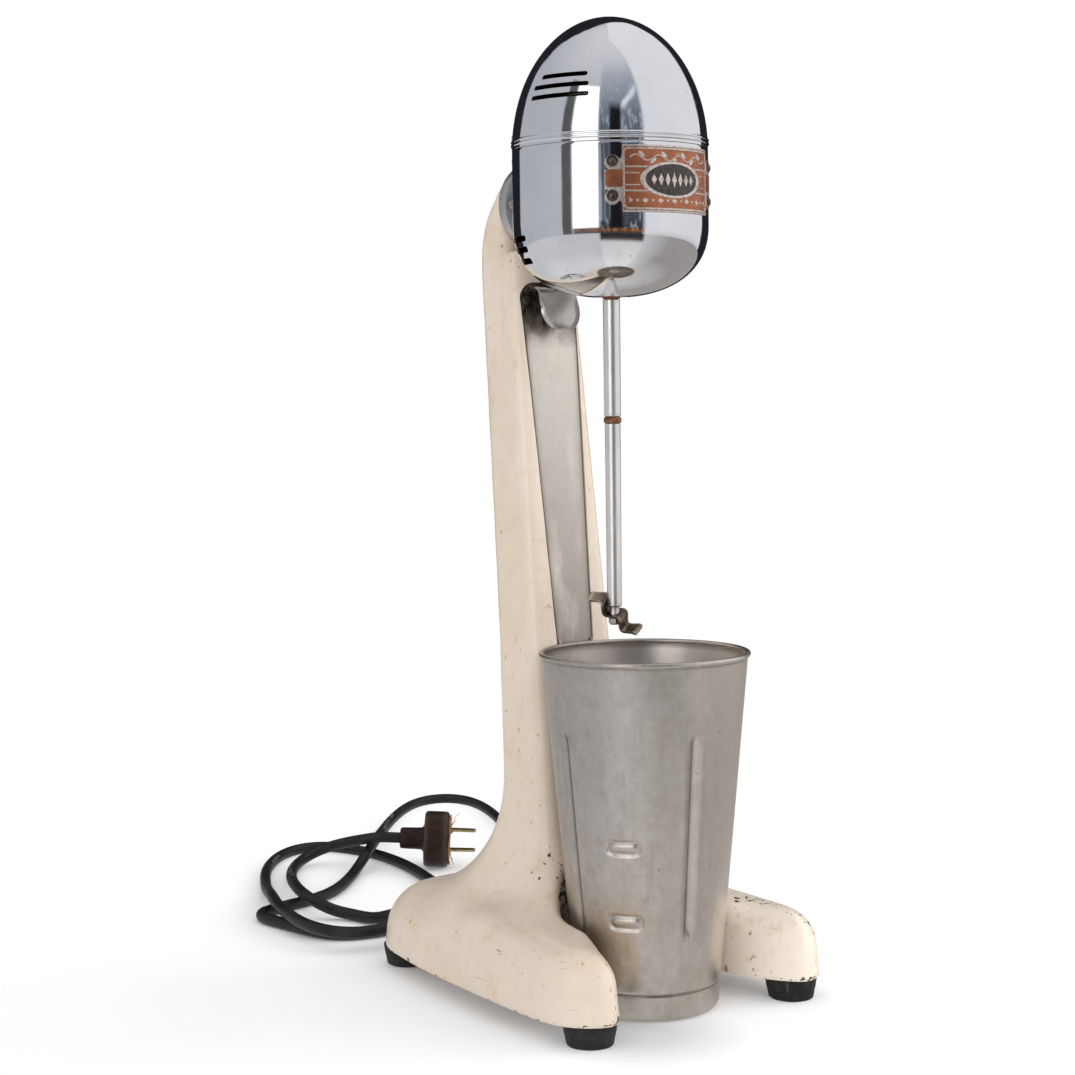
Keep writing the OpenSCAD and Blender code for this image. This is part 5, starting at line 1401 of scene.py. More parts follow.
def cup():
    nth = 480
    H = 174.6

    def rz(z):
        return 34.6 + 16.4 * z / 172.6

    zs = np.concatenate([np.linspace(4.5, 11.5, 6), np.linspace(11.9, 15.1, 15), np.linspace(16, 171.6, 210)])
    base = rz(zs)
    g = np.exp(-((zs - 13.5) / 0.75) ** 2) * 0.55
    base = base - g
    cor = [(rz(4.5) - 4.5 + 4.5 * math.cos(a), 4.5 + 4.5 * math.sin(a)) for a in np.radians(np.linspace(-78, -10, 8))]
    foot = [(0, 1.6), (10, 1.6), (20, 1.6), (25.6, 1.6), (26.4, 1.4), (27.6, 0.35), (28.4, 0.0), (29.5, 0.0)]
    wall = np.column_stack([base, zs])
    outer = np.vstack([foot, cor, wall])
    # rolled rim
    rc = (51.2, H - 1.25)
    rim = [(rc[0] + 1.25 * math.cos(a), rc[1] + 1.25 * math.sin(a)) for a in np.radians(np.linspace(-95, 200, 30))]
    inz = np.linspace(171.4, 5.2, 90)
    ins = np.column_stack([rz(inz) - 0.9 - np.exp(-((inz - 13.5) / 0.75) ** 2) * 0.5, inz])
    icor = [(rz(4.5) - 4.5 + 3.6 * math.cos(a), 4.5 + 3.6 * math.sin(a)) for a in np.radians(np.linspace(-10, -84, 8))]
    ibot = [(28.6, 0.95), (26.6, 2.2), (25.6, 2.5), (16, 2.5), (8, 2.5), (0, 2.5)]
    prof = np.vstack([outer, rim, ins, icor, ibot])
    V, Q, T = revolve(prof, nth, (0, CY))
    x, y, z = V[:, 0].copy(), V[:, 1] - CY, V[:, 2].copy()
    r = np.hypot(x, y)
    # angle from the camera side, positive towards the image right
    th = np.degrees(np.arctan2(x * 0.803 + y * -0.596, -(x * 0.596 + y * 0.803)))
    side = (z > 3) & (z < 171.7)
    off = np.zeros(len(V))
    for c in (-58, 27, 117, 207):
        d = (th - c + 180) % 360 - 180
        arc = np.radians(d) * r
        fade = sstep(z, 37, 47) * (1 - sstep(z, 134, 139.5))
        wid = 1.8
        off -= fade * (2.1 * np.exp(-(arc / wid) ** 2) - 0.30 * np.exp(-((np.abs(arc) - 4.6) / 2.0) ** 2))
    for c, zc in ((-18, 85.3), (-18, 49)):
        d = (th - c + 180) % 360 - 180
        arc = np.radians(d) * r
        q = np.maximum(np.abs(arc) - 5.0, 0)
        rr = np.hypot(q, z - zc)
        off += 0.35 * np.exp(-(rr / 1.5) ** 2) - 0.95 * np.exp(-((rr - 2.9) / 0.95) ** 2)
    # a few shallow dents and a slightly uneven wall
    for c, zc, s, dp in ((10, 120, 13, 0.10), (-35, 60, 12, 0.12), (60, 90, 15, 0.14), (150, 70, 14, 0.2), (-120, 110, 12, 0.2), (20, 28, 8, 0.12)):
        d = (th - c + 180) % 360 - 180
        off -= dp * np.exp(-((np.radians(d) * r) ** 2 + (z - zc) ** 2) / s ** 2)
    off += 0.05 * np.sin(np.radians(th) * 3 + z * 0.02) + 0.03 * np.sin(np.radians(th) * 7 + z * 0.05)
    off = np.where(side, off, 0) * sstep(z, 3, 8) * (1 - sstep(z, 168, 171.5))
    k = (r + off) / np.maximum(r, 1e-6)
    V[:, 0] = x * k
    V[:, 1] = y * k + CY
    # painted shade in the groove above the foot, along the bottom edge and just under the rolled rim
    gr = 0.75 * np.exp(-((z - 13.2) / 0.55) ** 2) * (r > rz(13) - 1.2) + 0.35 * np.exp(-np.clip(z, 0, None) / 1.5) * (r > 26)
    gr = gr + 0.45 * np.exp(-((z - 171.6) / 0.6) ** 2)
    # painted shadow line in the two flutes that face the camera
    for c, at, k in ((-58, -0.3, 0.85), (27, -0.5, 0.40)):
        arc = np.radians((th - c + 180) % 360 - 180) * r
        ln = np.exp(-((arc - at) / 0.80) ** 2) * sstep(z, 38, 44) * (1 - sstep(z, 135, 139))
        gr = np.maximum(gr, k * ln * (r > rz(z) - 3.2) * (off < 0.5))
    mesh("malt_cup_spun", V, Q, T, mats=("cup_steel",), body="cup", rep=("malt_cup",), angle=60,
         attrs={"painted_shade_and_grime": np.clip(gr, 0, 0.9), "inner": ((z > 2.2) & (r < rz(z) - 0.7) & (z < 171.5)).astype(float)})


cup()

# ---------------------------------------------------------------- spindle and agitator


def turned(name, prof, mats, body, rep=(), n=48, h=1.0, r=0.25, angle=50):
    pr = np.vstack([prof[0], fillet(prof[1:-1], [0] + [r] * (len(prof) - 4) + [0], 3), prof[-1]]) if len(prof) > 4 else np.array(prof, float)
    V, Q, T = revolve(dense(pr, h), n)
    return mesh(name, V, Q, T, mats=mats, body=body, rep=rep, angle=angle)


turned("spindle_tube_turned", [(0, 290.0), (3.6, 290.0), (4.25, 290.5), (4.30, 318), (4.35, 349.0), (3.6, 349.4), (0, 349.4)],
       ("spindle_steel",), "spindle", ("spindle_tube",), h=2.0)
turned("spindle_ring_rusty", [(0, 287.0), (4.1, 287.0), (4.5, 287.5), (4.4, 288.4), (4.52, 289.3), (4.1, 289.9), (0, 289.9)],
       ("rusty_steel",), "spindle", ("spindle_joint_ring",), h=0.5)
turned("spindle_rod_turned", [(0, 185.6), (2.2, 185.6), (2.5, 185.9), (2.5, 194.5), (3.3, 194.6), (3.7, 195.2), (3.95, 270), (4.0, 286.5), (3.6, 286.95), (0, 286.95)],
       ("spindle_steel",), "spindle", ("spindle_rod",), h=2.0)
turned("spindle_collar_rusty", [(0, 349.5), (4.2, 349.5), (4.6, 349.9), (4.7, 350.6), (4.5, 351.2), (4.6, 351.8), (4.2, 352.6), (0, 352.6)],
       ("rusty_steel",), "spindle", ("spindle_collar",), h=0.6)

U_ = np.array([0.803, -0.596, -0.93])
U_ /= np.linalg.norm(U_)
Vv_ = np.cross([0, 0, 1], U_) * 0.80 + np.array([0, 0, 0.32]) + 0.32 * np.array([0.803, -0.596, 0])
Vv_ /= np.linalg.norm(Vv_)
N_ = np.cross(U_, Vv_)
N_ /= np.linalg.norm(N_)
W_ = np.cross(N_, U_)


def agitator():
    L, Wd, t = 30.5, 9.0, 0.55
    nu, nw = ((200, 48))
    p = np.linspace(-L / 2, L / 2, nu)
    w = np.linspace(-1, 1, nw)
    P, Wg = np.meshgrid(p, w, indexing="ij")
    half = Wd / 2 * (1 - 0.12 * np.cos(2 * math.pi * 2.6 * P / L))
    # rounded outer corners of the pressed strip
    e = np.clip((np.abs(P) - (L / 2 - 2.0)) / 2.0, 0, 1)
    half = half - 2.0 * (1 - np.sqrt(np.clip(1 - e ** 2, 0, 1)))
    Wm = Wg * half
    wave = 2.3 * np.sin(2 * math.pi * 2.6 * P / L) * (1 + 0.10 * Wg) + 0.25 * Wg ** 2
    C = np.array([0, 0, 191.3])
    mid = C + P[..., None] * U_ + Wm[..., None] * W_ + wave[..., None] * N_
    nn = np.cross(np.gradient(mid, axis=0), np.gradient(mid, axis=1))
    nn /= np.maximum(np.linalg.norm(nn, axis=2, keepdims=True), 1e-9)
    top = mid - nn * t
    V, Q, _ = slab_grid(top, nn, 2 * t)
    ed = np.minimum(half - np.abs(Wm), (L / 2 - np.abs(P)))
    # painted highlight over one end of the strip, added to a brighter rim along the edges
    lit = sstep(-P, 8.0, 13.0) * 0.8
    edge = np.clip(np.exp(-np.clip(ed, 0, None) / 0.45) + lit, 0, 1)
    mesh("agitator_pressed", V, Q, mats=("aged_brass",), body="spindle", rep=("agitator",), angle=50,
         attrs={"edge": np.concatenate([edge.ravel(), edge.ravel()])})
    # hex nut under it, chamfered
    hexo = []
    for zz, k in ((186.2, 0.80), (186.5, 0.90), (188.6, 0.90), (189.0, 0.82)):
        a = np.radians(np.arange(0, 360, 60))
        hexo.append(np.column_stack([3.6 * k * np.cos(a), 3.6 * k * np.sin(a), np.full(6, zz)]))
    V = np.concatenate(hexo + [[[0, 0, 186.2]], [[0, 0, 189.0]]])
    Q = gq(4, 6, False, True)
    i = np.arange(6)
    T = np.concatenate([np.stack([np.full(6, 24), (i + 1) % 6, i], 1), np.stack([np.full(6, 25), 18 + i, 18 + (i + 1) % 6], 1)])
    mesh("agitator_nut_hex", V, Q[:, ::-1], T, mats=("plated_steel",), body="spindle", rep=("agitator_nut",), angle=25)


agitator()

# ---------------------------------------------------------------- cord and plug

WAY = [[0, 104, 20], [0, 116, 20], [0, 131, 20], [0, 140, 19.9], [-7, 149, 16], [-24, 152, 11.5], [-44, 149, 10.2],
       [-60, 150, 10.2], [-70, 162, 10.2], [-73, 182, 10.2], [-69.3, 206, 10.2], [-62, 234, 10.3],
       [-54.5, 252, 10.5], [-46, 271, 8.6], [-34, 296, 4.6], [-21, 320, 3.3], [-8, 343, 3.3], [11, 367, 3.3],
       [29, 382.5, 3.3], [45, 389, 3.3], [60, 385, 3.3], [68.5, 369, 3.3], [73.4, 346, 3.3], [73, 322, 3.3],
       [69.4, 296, 3.3], [63, 271, 3.3], [54, 240, 3.3], [36, 206, 3.3], [12, 184, 3.3], [-12, 173, 3.3],
       [-30, 171, 3.3], [-44, 172.5, 3.3], [-56, 179, 3.3], [-62, 192, 3.3], [-64.5, 207, 3.3], [-67, 224, 3.3],
       [-69, 239, 3.3], [-64.5, 249.5, 3.3], [-54, 252.5, 3.3], [-40, 256.5, 3.3], [-27, 258.5, 3.3],
       [-14, 263, 3.3], [2, 273, 3.3], [21.7, 291.8, 3.3], [37.7, 309.3, 3.6], [47.3, 317.6, 6.5],
       [52.7, 320.2, 10.4], [64.8, 333.3, 11.4], [85.7, 360.2, 9.5], [116.2, 399.4, 5], [128, 415, 3.3],
       [160, 449, 3.3], [192, 475, 3.3], [218, 476, 3.3], [226, 452, 3.3], [214, 412, 3.3], [196, 372, 3.3],
       [168, 318, 3.3], [134, 262, 3.3], [98, 212, 4], [62, 178, 10], [30, 165, 12], [4, 169, 12], [-10, 178, 10.2],
       [-19, 190, 5], [-21.9, 198.7, 3.3], [-24.9, 213.3, 3.3], [-29.8, 220.6, 4.4], [-35.4, 223.5, 7],
       [-38.8, 228.8, 9.4], [-38.1, 240.2, 10.4], [-33.9, 256.3, 10.4], [-23.2, 281.6, 8.5], [-6.7, 314.1, 5],
       [10.1, 339.8, 3.5], [23.1, 351.9, 4.4], [33, 355, 6.8], [41.3, 352.6, 9.8], [46, 345.4, 12.6],
       [49.7, 335.6, 15.6], [52.8, 326.1, 18], [60.59, 319.31, 19.76], [66.25, 315.2, 19.41], [70.69, 311.97, 19.15],
       [75.14, 308.74, 18.88]]


def smooth(c, m):
    c = np.asarray(c, float)
    q = np.vstack([2 * c[0] - c[1], c, 2 * c[-1] - c[-2]])
    out = []
    for i in range(1, len(q) - 2):
        for j in range(m):
            t = j / m
            out.append(((1 - t) ** 3 * q[i - 1] + (3 * t ** 3 - 6 * t ** 2 + 4) * q[i]
                        + (-3 * t ** 3 + 3 * t ** 2 + 3 * t + 1) * q[i + 1] + t ** 3 * q[i + 2]) / 6)
    return np.array(out + [c[-1]])


def cord():
    p = smooth(WAY, 14)
    end = np.array([77.56, 306.98, 18.73])
    k = 4
    p = np.vstack([p, [p[-1] + (end - p[-1]) * i / k for i in range(1, k + 1)]])
    n = 28
    V, Q, T = tube(p, 3.3, n)
    V[:, 2] = np.maximum(V[:, 2], 0.0)
    # ghost of the maker's printing line: plain dashes here and there
    arc = np.concatenate([[0], np.cumsum(np.linalg.norm(np.diff(p, axis=0), axis=1))])
    a = np.repeat(arc, n)
    j = np.tile(np.arange(n), len(p))
    mk = (np.abs((j / n * 2 * math.pi + a * 0.01) % (2 * math.pi) - 2.2) < 0.30) * (np.sin(a * 2.1) > 0.1) * (np.sin(a * 0.045) > 0.1)
    pr = np.concatenate([mk.astype(float), [0, 0]])
    mesh("power_cord_sheath", V, Q, T, mats=("cord_rubber",), rep=("power_cord",), angle=60, attrs={"print": pr})


cord()

PA, PB = math.radians(-36), math.radians(2.8)
PM = np.eye(4)
PM[:3, :3] = np.array([[math.cos(PA), -math.sin(PA), 0], [math.sin(PA), math.cos(PA), 0], [0, 0, 1]]) @ np.array(
    [[math.cos(PB), 0, math.sin(PB)], [0, 1, 0], [-math.sin(PB), 0, math.cos(PB)]])
PM[:3, 3] = [91.3, 297, 17.9]
XM = PM @ np.array([[0, 0, 1, 0], [0, 1, 0, 0], [-1, 0, 0, 0], [0, 0, 0, 1]], float)   # local z of a turned part along plug +X


def plug():
    # moulded body: a cord sleeve that swells into a thick round head with finger ribs
    pr = [(0, -14.6), (3.7, -14.6), (3.7, -24.0), (5.4, -24.0), (6.5, -23.2), (6.7, -19), (6.75, -13), (7.0, -10.2), (8.6, -8.9),
          (15.9, -8.5), (17.2, -7.4), (17.4, -5.6), (17.4, 4.6), (16.9, 6.2), (15.8, 7.0), (0, 7.0)]
    pr = np.vstack([pr[0], fillet(pr[1:-1], [0.2, 0.2, 0.8, 1, 0.5, 1, 1, 1.5, 1, 1, 1, 1, 1, 0], 4), pr[-1]])
    d = dense(pr, 0.9)
    V, Q, T = revolve(d, 120)
    r = np.hypot(V[:, 0], V[:, 1])
    th = np.arctan2(V[:, 1], V[:, 0])
    rib = 0.35 * np.cos(th * 2 + 0.2) * ((V[:, 2] > -9) & (r > 12))
    grip = np.where((r > 5.8) & (V[:, 2] < -11) & (V[:, 2] > -23), 0.04 * np.sin(V[:, 2] * 2.4), 0)
    seam = 0.22 * np.exp(-(np.abs(np.sin(th)) / 0.03) ** 2) * (r > 5)
    k = (r + np.minimum(rib, 0) * 0.4 + grip + seam * 0) / np.maximum(r, 1e-6)
    V[:, 0] *= k
    V[:, 1] *= k
    ed = np.exp(-np.clip(17.3 - r, 0, None) / 0.5) * np.exp(-((V[:, 2] - 5.5) / 2.2) ** 2) + np.exp(-((V[:, 2] + 7.6) / 1.2) ** 2) * (r > 15)
    ob = mesh("plug_body_moulded", turn(V, XM), Q, T, mats=("brown_bakelite",), rep=("plug_body",), angle=50,
              attrs={"edge": np.clip(ed, 0, 1)})
    tools = []
    for s in (-1, 1):
        A, P = prism([(-4, -3.4), (20, -3.4), (20, 3.4), (-4, 3.4)], s * 6.35 - 0.85, s * 6.35 + 0.85, lambda A: turn(A, PM))
        tools.append(cutter("cut_blade", A, P))
    cut(ob, tools)
    ob.data.set_sharp_from_angle(angle=math.radians(45))
    # flat blades with rounded tips and a hole, one a little bent
    parts = []
    for s, bend in ((-1, 0.25), (1, -0.1)):
        nx, ny = 60, 14
        xx = np.linspace(-3.8, 24.0, nx)
        yy = np.linspace(-1, 1, ny)
        Xg, Yg = np.meshgrid(xx, yy, indexing="ij")
        e = np.clip((Xg - 21.8) / 2.2, 0, 1)
        hw = 3.15 * np.sqrt(np.clip(1 - e ** 2, 0.02, 1))
        Zb = bend * (np.clip(Xg, 0, None) / 24) ** 2
        ch = 0.25 * (np.abs(Yg) > 0.9)
        top = np.stack([Xg, Yg * hw, s * 6.35 + 0.75 - ch + Zb], -1)
        dn = np.zeros_like(top)
        dn[..., 2] = -1
        V, Q, _ = slab_grid(top, dn, 1.5)
        V[nx * ny:, 2] = (s * 6.35 - 0.75 + ch + Zb).ravel()
        parts.append((turn(V, PM), Q, None))
    V, Q, T = merge(parts)
    ob = mesh("plug_blades", V, Q, T, mats=("brass_blade",), rep=("plug_prongs",), angle=35)
    tools = []
    a = np.radians(np.arange(0, 360, 20))
    for s in (-1, 1):
        A, P = prism(np.column_stack([20.8 + 1.35 * np.cos(a), 1.35 * np.sin(a)]), s * 6.35 - 3, s * 6.35 + 3, lambda A: turn(A, PM))
        tools.append(cutter("cut_hole", A, P))
    cut(ob, tools)
    ob.data.set_sharp_from_angle(angle=math.radians(35))
    # fibre disc with a torn, lifted edge
    n, m = 150, 16
    rr = np.linspace(0.0, 1.0, m)
    th = np.arange(n) * 2 * math.pi / n
    g = rng.normal(size=n)
    g = np.convolve(np.r_[g[-4:], g, g[:4]], np.ones(3) / 3, "same")[4:-4]
    R = 15.2 + 0.5 * g
    torn = np.exp(-((((th - 0.9) + math.pi) % (2 * math.pi) - math.pi) / 0.5) ** 2) + np.exp(-((((th + 2.0) + math.pi) % (2 * math.pi) - math.pi) / 0.35) ** 2)
    R = R + torn * (0.4 * np.sin(th * 23) + 0.5)
    rad = rr[None] * R[:, None]
    lift = torn[:, None] * np.clip((rr[None] - 0.75) / 0.25, 0, 1) ** 2 * (0.45 + 0.3 * np.sin(th[:, None] * 17)) + 0.10 * np.sin(th[:, None] * 5) * rr[None] ** 2
    top = np.stack([7.75 + np.broadcast_to(lift, rad.shape), rad * np.cos(th)[:, None], rad * np.sin(th)[:, None]], -1)
    top = np.concatenate([top, top[:1]], 0)
    dn = np.zeros_like(top)
    dn[..., 0] = -1
    Vt = top[:-1].reshape(-1, 3)
    Vb = Vt.copy()
    Vb[:, 0] -= 0.6
    b = n * m
    V = np.concatenate([Vt, Vb])
    q1 = gq(n, m, True, False)
    q2 = gq(n, m, True, False, True, b)
    i = np.arange(n)
    rim = np.stack([i * m + m - 1, i * m + m - 1 + b, ((i + 1) % n) * m + m - 1 + b, ((i + 1) % n) * m + m - 1], 1)
    cen = np.stack([i * m, ((i + 1) % n) * m, ((i + 1) % n) * m + b, i * m + b], 1)
    me = bpy.data.meshes.new("plug_disc")
    me.from_pydata((turn(V, PM) * 0.001).tolist(), [], np.concatenate([q1, q2, rim]).tolist())
    bm = bmesh.new()
    bm.from_mesh(me)
    bmesh.ops.remove_doubles(bm, verts=bm.verts, dist=1e-6)
    bmesh.ops.dissolve_degenerate(bm, edges=bm.edges, dist=1e-7)
    bmesh.ops.recalc_face_normals(bm, faces=bm.faces)
    bm.to_mesh(me)
    bm.free()
    me.shade_smooth()
    me.set_sharp_from_angle(angle=math.radians(40))
    me.materials.append(MAT["fibre_board"])
    ob = bpy.data.objects.new("plug_insulator_disc", me)
    scene.collection.objects.link(ob)
    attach(ob, "stand")
    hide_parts("plug_insulator")
    tools = []
    for s in (-1, 1):
        A, P = prism([(4, -3.5), (20, -3.5), (20, 3.5), (4, 3.5)], s * 6.35 - 0.95, s * 6.35 + 0.95, lambda A: turn(A, PM))
        tools.append(cutter("cut_slot", A, P))
    cut(ob, tools)
    # torn slivers of the disc standing away from it
    parts = []
    for k, (a0, L, w, lean_) in enumerate([(0.10, 11.5, 1.3, 1.9), (0.42, 6.0, 0.9, 1.2), (3.05, 11.5, 1.4, 1.0), (3.45, 6.5, 0.9, 0.8), (1.3, 4.5, 0.8, 1.1)]):
        t = np.linspace(0, 1, 14)
        rad0 = 8.0
        x = 8.0 + lean_ * 2.6 * t ** 1.4
        rad = rad0 + L * t * (1 - 0.25 * t)
        wd = w * (1 - t) ** 0.7 + 0.06
        side = np.array([0, -math.sin(a0), math.cos(a0)])
        out = np.array([0, math.cos(a0), math.sin(a0)])
        curl = 0.8 * np.sin(t * 2.4 + k)
        mid = np.stack([x, np.zeros_like(x), np.zeros_like(x)], -1) + rad[:, None] * out + curl[:, None] * side * 0.8
        # out is turned so that +z of the plug is up
        mid = mid[:, [0, 2, 1]] * np.array([1, 1, 1])
        side = side[[0, 2, 1]]
        u = np.linspace(-1, 1, 5)
        top = mid[:, None] + u[None, :, None] * wd[:, None, None] * side
        dn = np.zeros_like(top)
        dn[..., 0] = 1
        V, Q, _ = slab_grid(top, dn, 0.3)
        parts.append((turn(V, PM), Q, None))
    V, Q, T = merge(parts)
    mesh("plug_insulator_slivers", V, Q, T, mats=("fibre_board",), angle=40)


plug()

# ---------------------------------------------------------------- remaining CAD nodes

FINISH = {
    "base_plate": "plated_steel", "foot_screws": "plated_steel", "strip_screws": "dark_steel", "cup_rest": "plated_steel",
    "cord_grommet": "black_rubber", "cord_clamp": "plated_steel", "wire_leads": "wire_cover", "switch_bracket": "plated_steel",
    "switch_body": "brown_bakelite", "switch_terminals": "brass_blade", "lever_pin": "plated_steel", "lever_spring": "plated_steel",
    "mounting_flange": "cast_grey", "flange_screws": "plated_steel", "head_screws": "plated_steel", "cap_screws": "plated_steel",
    "motor_frame_ring": "brown_bakelite", "upper_bracket": "cast_grey", "lower_bracket": "cast_grey", "through_screws": "plated_steel",
    "upper_bearing": "brass_blade", "lower_bearing": "brass_blade", "oil_felt": "felt", "field_laminations": "lamination_steel",
    "field_coils": "copper_winding", "brush_holders": "brass_blade", "carbon_brushes": "carbon", "brush_springs": "plated_steel",
    "motor_shaft": "spindle_steel", "armature_core": "lamination_steel", "armature_windings": "copper_winding",
    "commutator": "copper_winding", "cooling_fan": "plated_steel", "thrust_washer": "plated_steel", "trip_lever": "dark_steel",
    "switch_plunger": "red_plastic",
}
SOFT = {"strip_screws": 0.22, "cup_rest": 0.30, "cord_grommet": 0.3, "mounting_flange": 0.8, "flange_screws": 0.25,
        "head_screws": 0.25, "cap_screws": 0.2, "trip_lever": 0.3, "foot_screws": 0.2, "base_plate": 0.2}
for name, ob in N.items():
    if ob.hide_render:
        continue
    me = ob.data
    me.materials.clear()
    me.materials.append(MAT[FINISH[name]])
    if "custom_normal" in me.attributes:
        me.attributes.remove(me.attributes["custom_normal"])
    w = ob.modifiers.new("weld", "WELD")
    w.merge_threshold = 1e-6
    if name in SOFT:
        b = ob.modifiers.new("soft", "BEVEL")
        b.width = SOFT[name] * 0.001
        b.segments = 2
        b.limit_method = "ANGLE"
        b.angle_limit = math.radians(40)
        b.use_clamp_overlap = True
    me.shade_smooth()
    me.set_sharp_from_angle(angle=math.radians(35))

# ---------------------------------------------------------------- studio

RV, FV = (0.803, -0.596, 0.0), (0.596, 0.803, 0.0)


class Env(Mat):
    def __init__(self, nt):
        self.nt = nt

    def dot(self, vec, c):
        n = self.nt.nodes.new("ShaderNodeVectorMath")
        n.operation = "DOT_PRODUCT"
        self.nt.links.new(vec, n.inputs[0])
        n.inputs[1].default_value = c
        return n.outputs["Value"]

    def band(self, v, a, b, s):
        return self.math("MULTIPLY", step(self, v, a - s, a + s), self.math("SUBTRACT", 1.0, step(self, v, b - s, b + s)))


def world():
    w = bpy.data.worlds.new("studio")
    scene.world = w
    w.use_nodes = True
    nt = w.node_tree
    nt.nodes.clear()
    e = Env(nt)
    tc = nt.nodes.new("ShaderNodeTexCoord").outputs["Generated"]
    r, f, u = e.dot(tc, RV), e.dot(tc, FV), e.dot(tc, (0, 0, 1))
    az = e.math("MULTIPLY", e.math("ARCTAN2", r, e.math("MULTIPLY", f, -1.0)), 57.29578)
    el = e.math("MULTIPLY", e.math("ARCSINE", u), 57.29578)
    n1 = e.noise(5.0, 4, 0.6, tc)
    n2 = e.noise(14.0, 3, 0.6, e.scale(tc, (1, 1, 0.35)))
    c = e.mix(step(e, az, 36, 41), (0.46, 0.47, 0.50), (0.93, 0.93, 0.94))
    c = e.mix(e.math("MULTIPLY", step(e, az, -112, -70), 0.4), c, (0.56, 0.57, 0.60))
    c = e.mix(e.math("MULTIPLY", step(e, el, 38, 80), 0.6), c, (0.84, 0.84, 0.86))
    c = e.mix(e.math("MULTIPLY", e.band(az, -60, -48, 0.8), e.math("SUBTRACT", 1.0, step(e, el, 42, 46))), c, (0.10, 0.105, 0.10))
    c = e.mix(e.math("MULTIPLY", e.band(az, -46, -15.5, 0.9), e.band(el, -6, 42, 1.0)), c, (1.75, 1.75, 1.74))
    grad = e.ramp(step(e, el, -20, 68), [(0.0, (0.022, 0.020, 0.020)), (0.30, (0.07, 0.075, 0.09)), (0.50, (0.17, 0.19, 0.23)),
                                        (0.75, (0.36, 0.39, 0.44)), (1.0, (0.60, 0.62, 0.66))])
    grad = e.mix(e.math("MULTIPLY", step(e, n2, 0.52, 0.66), e.math("SUBTRACT", 1.0, step(e, el, 38, 55))), grad, (0.42, 0.48, 0.56))
    # darker figure of camera and tripod, and one pale streak
    fig = e.math("MULTIPLY", e.band(az, -2, 12, 1.5), e.math("SUBTRACT", 1.0, step(e, el, 26, 32)))
    grad = e.mix(fig, grad, (0.012, 0.012, 0.015))
    streak = e.math("MULTIPLY", e.band(e.math("ADD", el, e.math("MULTIPLY", az, -0.55)), 18, 23, 1.5), e.band(az, 14, 35, 2))
    grad = e.mix(e.math("MULTIPLY", streak, 0.8), grad, (0.80, 0.86, 0.95))
    warm = e.band(el, -15, -8, 1.5)
    grad = e.mix(e.math("MULTIPLY", warm, 0.6), grad, (0.30, 0.13, 0.06))
    cm = e.math("MULTIPLY", e.band(az, -14.8, 37.0, 2.2), e.math("SUBTRACT", 1.0, step(e, el, 54, 68)))
    lowr = e.math("MULTIPLY", step(e, az, 36, 60), e.math("SUBTRACT", 1.0, step(e, el, -26, -7)))
    c = e.mix(lowr, c, (0.40, 0.375, 0.36))
    c = e.mix(cm, c, grad)
    sill = e.math("MULTIPLY", e.band(az, -46, 36, 2.0), e.band(el, -17, -6.5, 1.2))
    c = e.mix(e.math("MULTIPLY", sill, 0.85), c, (0.060, 0.040, 0.032))
    warm2 = e.math("MULTIPLY", e.band(az, -46, 36, 2.0), e.band(el, -11.5, -7.0, 0.8))
    c = e.mix(e.math("MULTIPLY", e.math("MULTIPLY", warm2, step(e, n2, 0.40, 0.60)), 0.8), c, (0.42, 0.17, 0.07))
    # the unlit room behind the object
    edge = e.math("ADD", f, e.math("MULTIPLY", e.math("SUBTRACT", n1, 0.5), 0.10))
    edge = e.math("ADD", edge, e.math("MULTIPLY", e.math("MULTIPLY", step(e, u, 0.50, 0.85), e.math("SUBTRACT", 1.0, step(e, r, -0.20, 0.20))), 0.22))
    c = e.mix(step(e, edge, 0.655, 0.685), c, (0.016, 0.017, 0.022))
    low = e.math("MULTIPLY", e.math("SUBTRACT", 1.0, step(e, el, -24, -12)), e.band(az, -14.8, 38.2, 0.8))
    c = e.mix(e.math("MULTIPLY", low, 0.45), c, (0.05, 0.05, 0.055))
    diff = e.ramp(step(e, f, -1, 1), [(0.0, (1.10, 1.10, 1.11)), (0.5, (0.94, 0.94, 0.95)), (1.0, (0.82, 0.82, 0.83))])
    diff = e.mix(e.math("MULTIPLY", step(e, u, 0.2, 1.0), 0.30), diff, (0.70, 0.70, 0.71))
    bg = []
    for col in ((1, 1, 1), c, diff):
        b = nt.nodes.new("ShaderNodeBackground")
        e.put(b.inputs[0], col)
        bg.append(b.outputs[0])
    lp = nt.nodes.new("ShaderNodeLightPath")
    m1 = nt.nodes.new("ShaderNodeMixShader")
    nt.links.new(lp.outputs["Is Glossy Ray"], m1.inputs[0])
    nt.links.new(bg[2], m1.inputs[1])
    nt.links.new(bg[1], m1.inputs[2])
    m2 = nt.nodes.new("ShaderNodeMixShader")
    nt.links.new(lp.outputs["Is Camera Ray"], m2.inputs[0])
    nt.links.new(m1.outputs[0], m2.inputs[1])
    nt.links.new(bg[0], m2.inputs[2])
    out = nt.nodes.new("ShaderNodeOutputWorld")
    nt.links.new(m2.outputs[0], out.inputs[0])
    w.cycles.sampling_method = "NONE"


world()


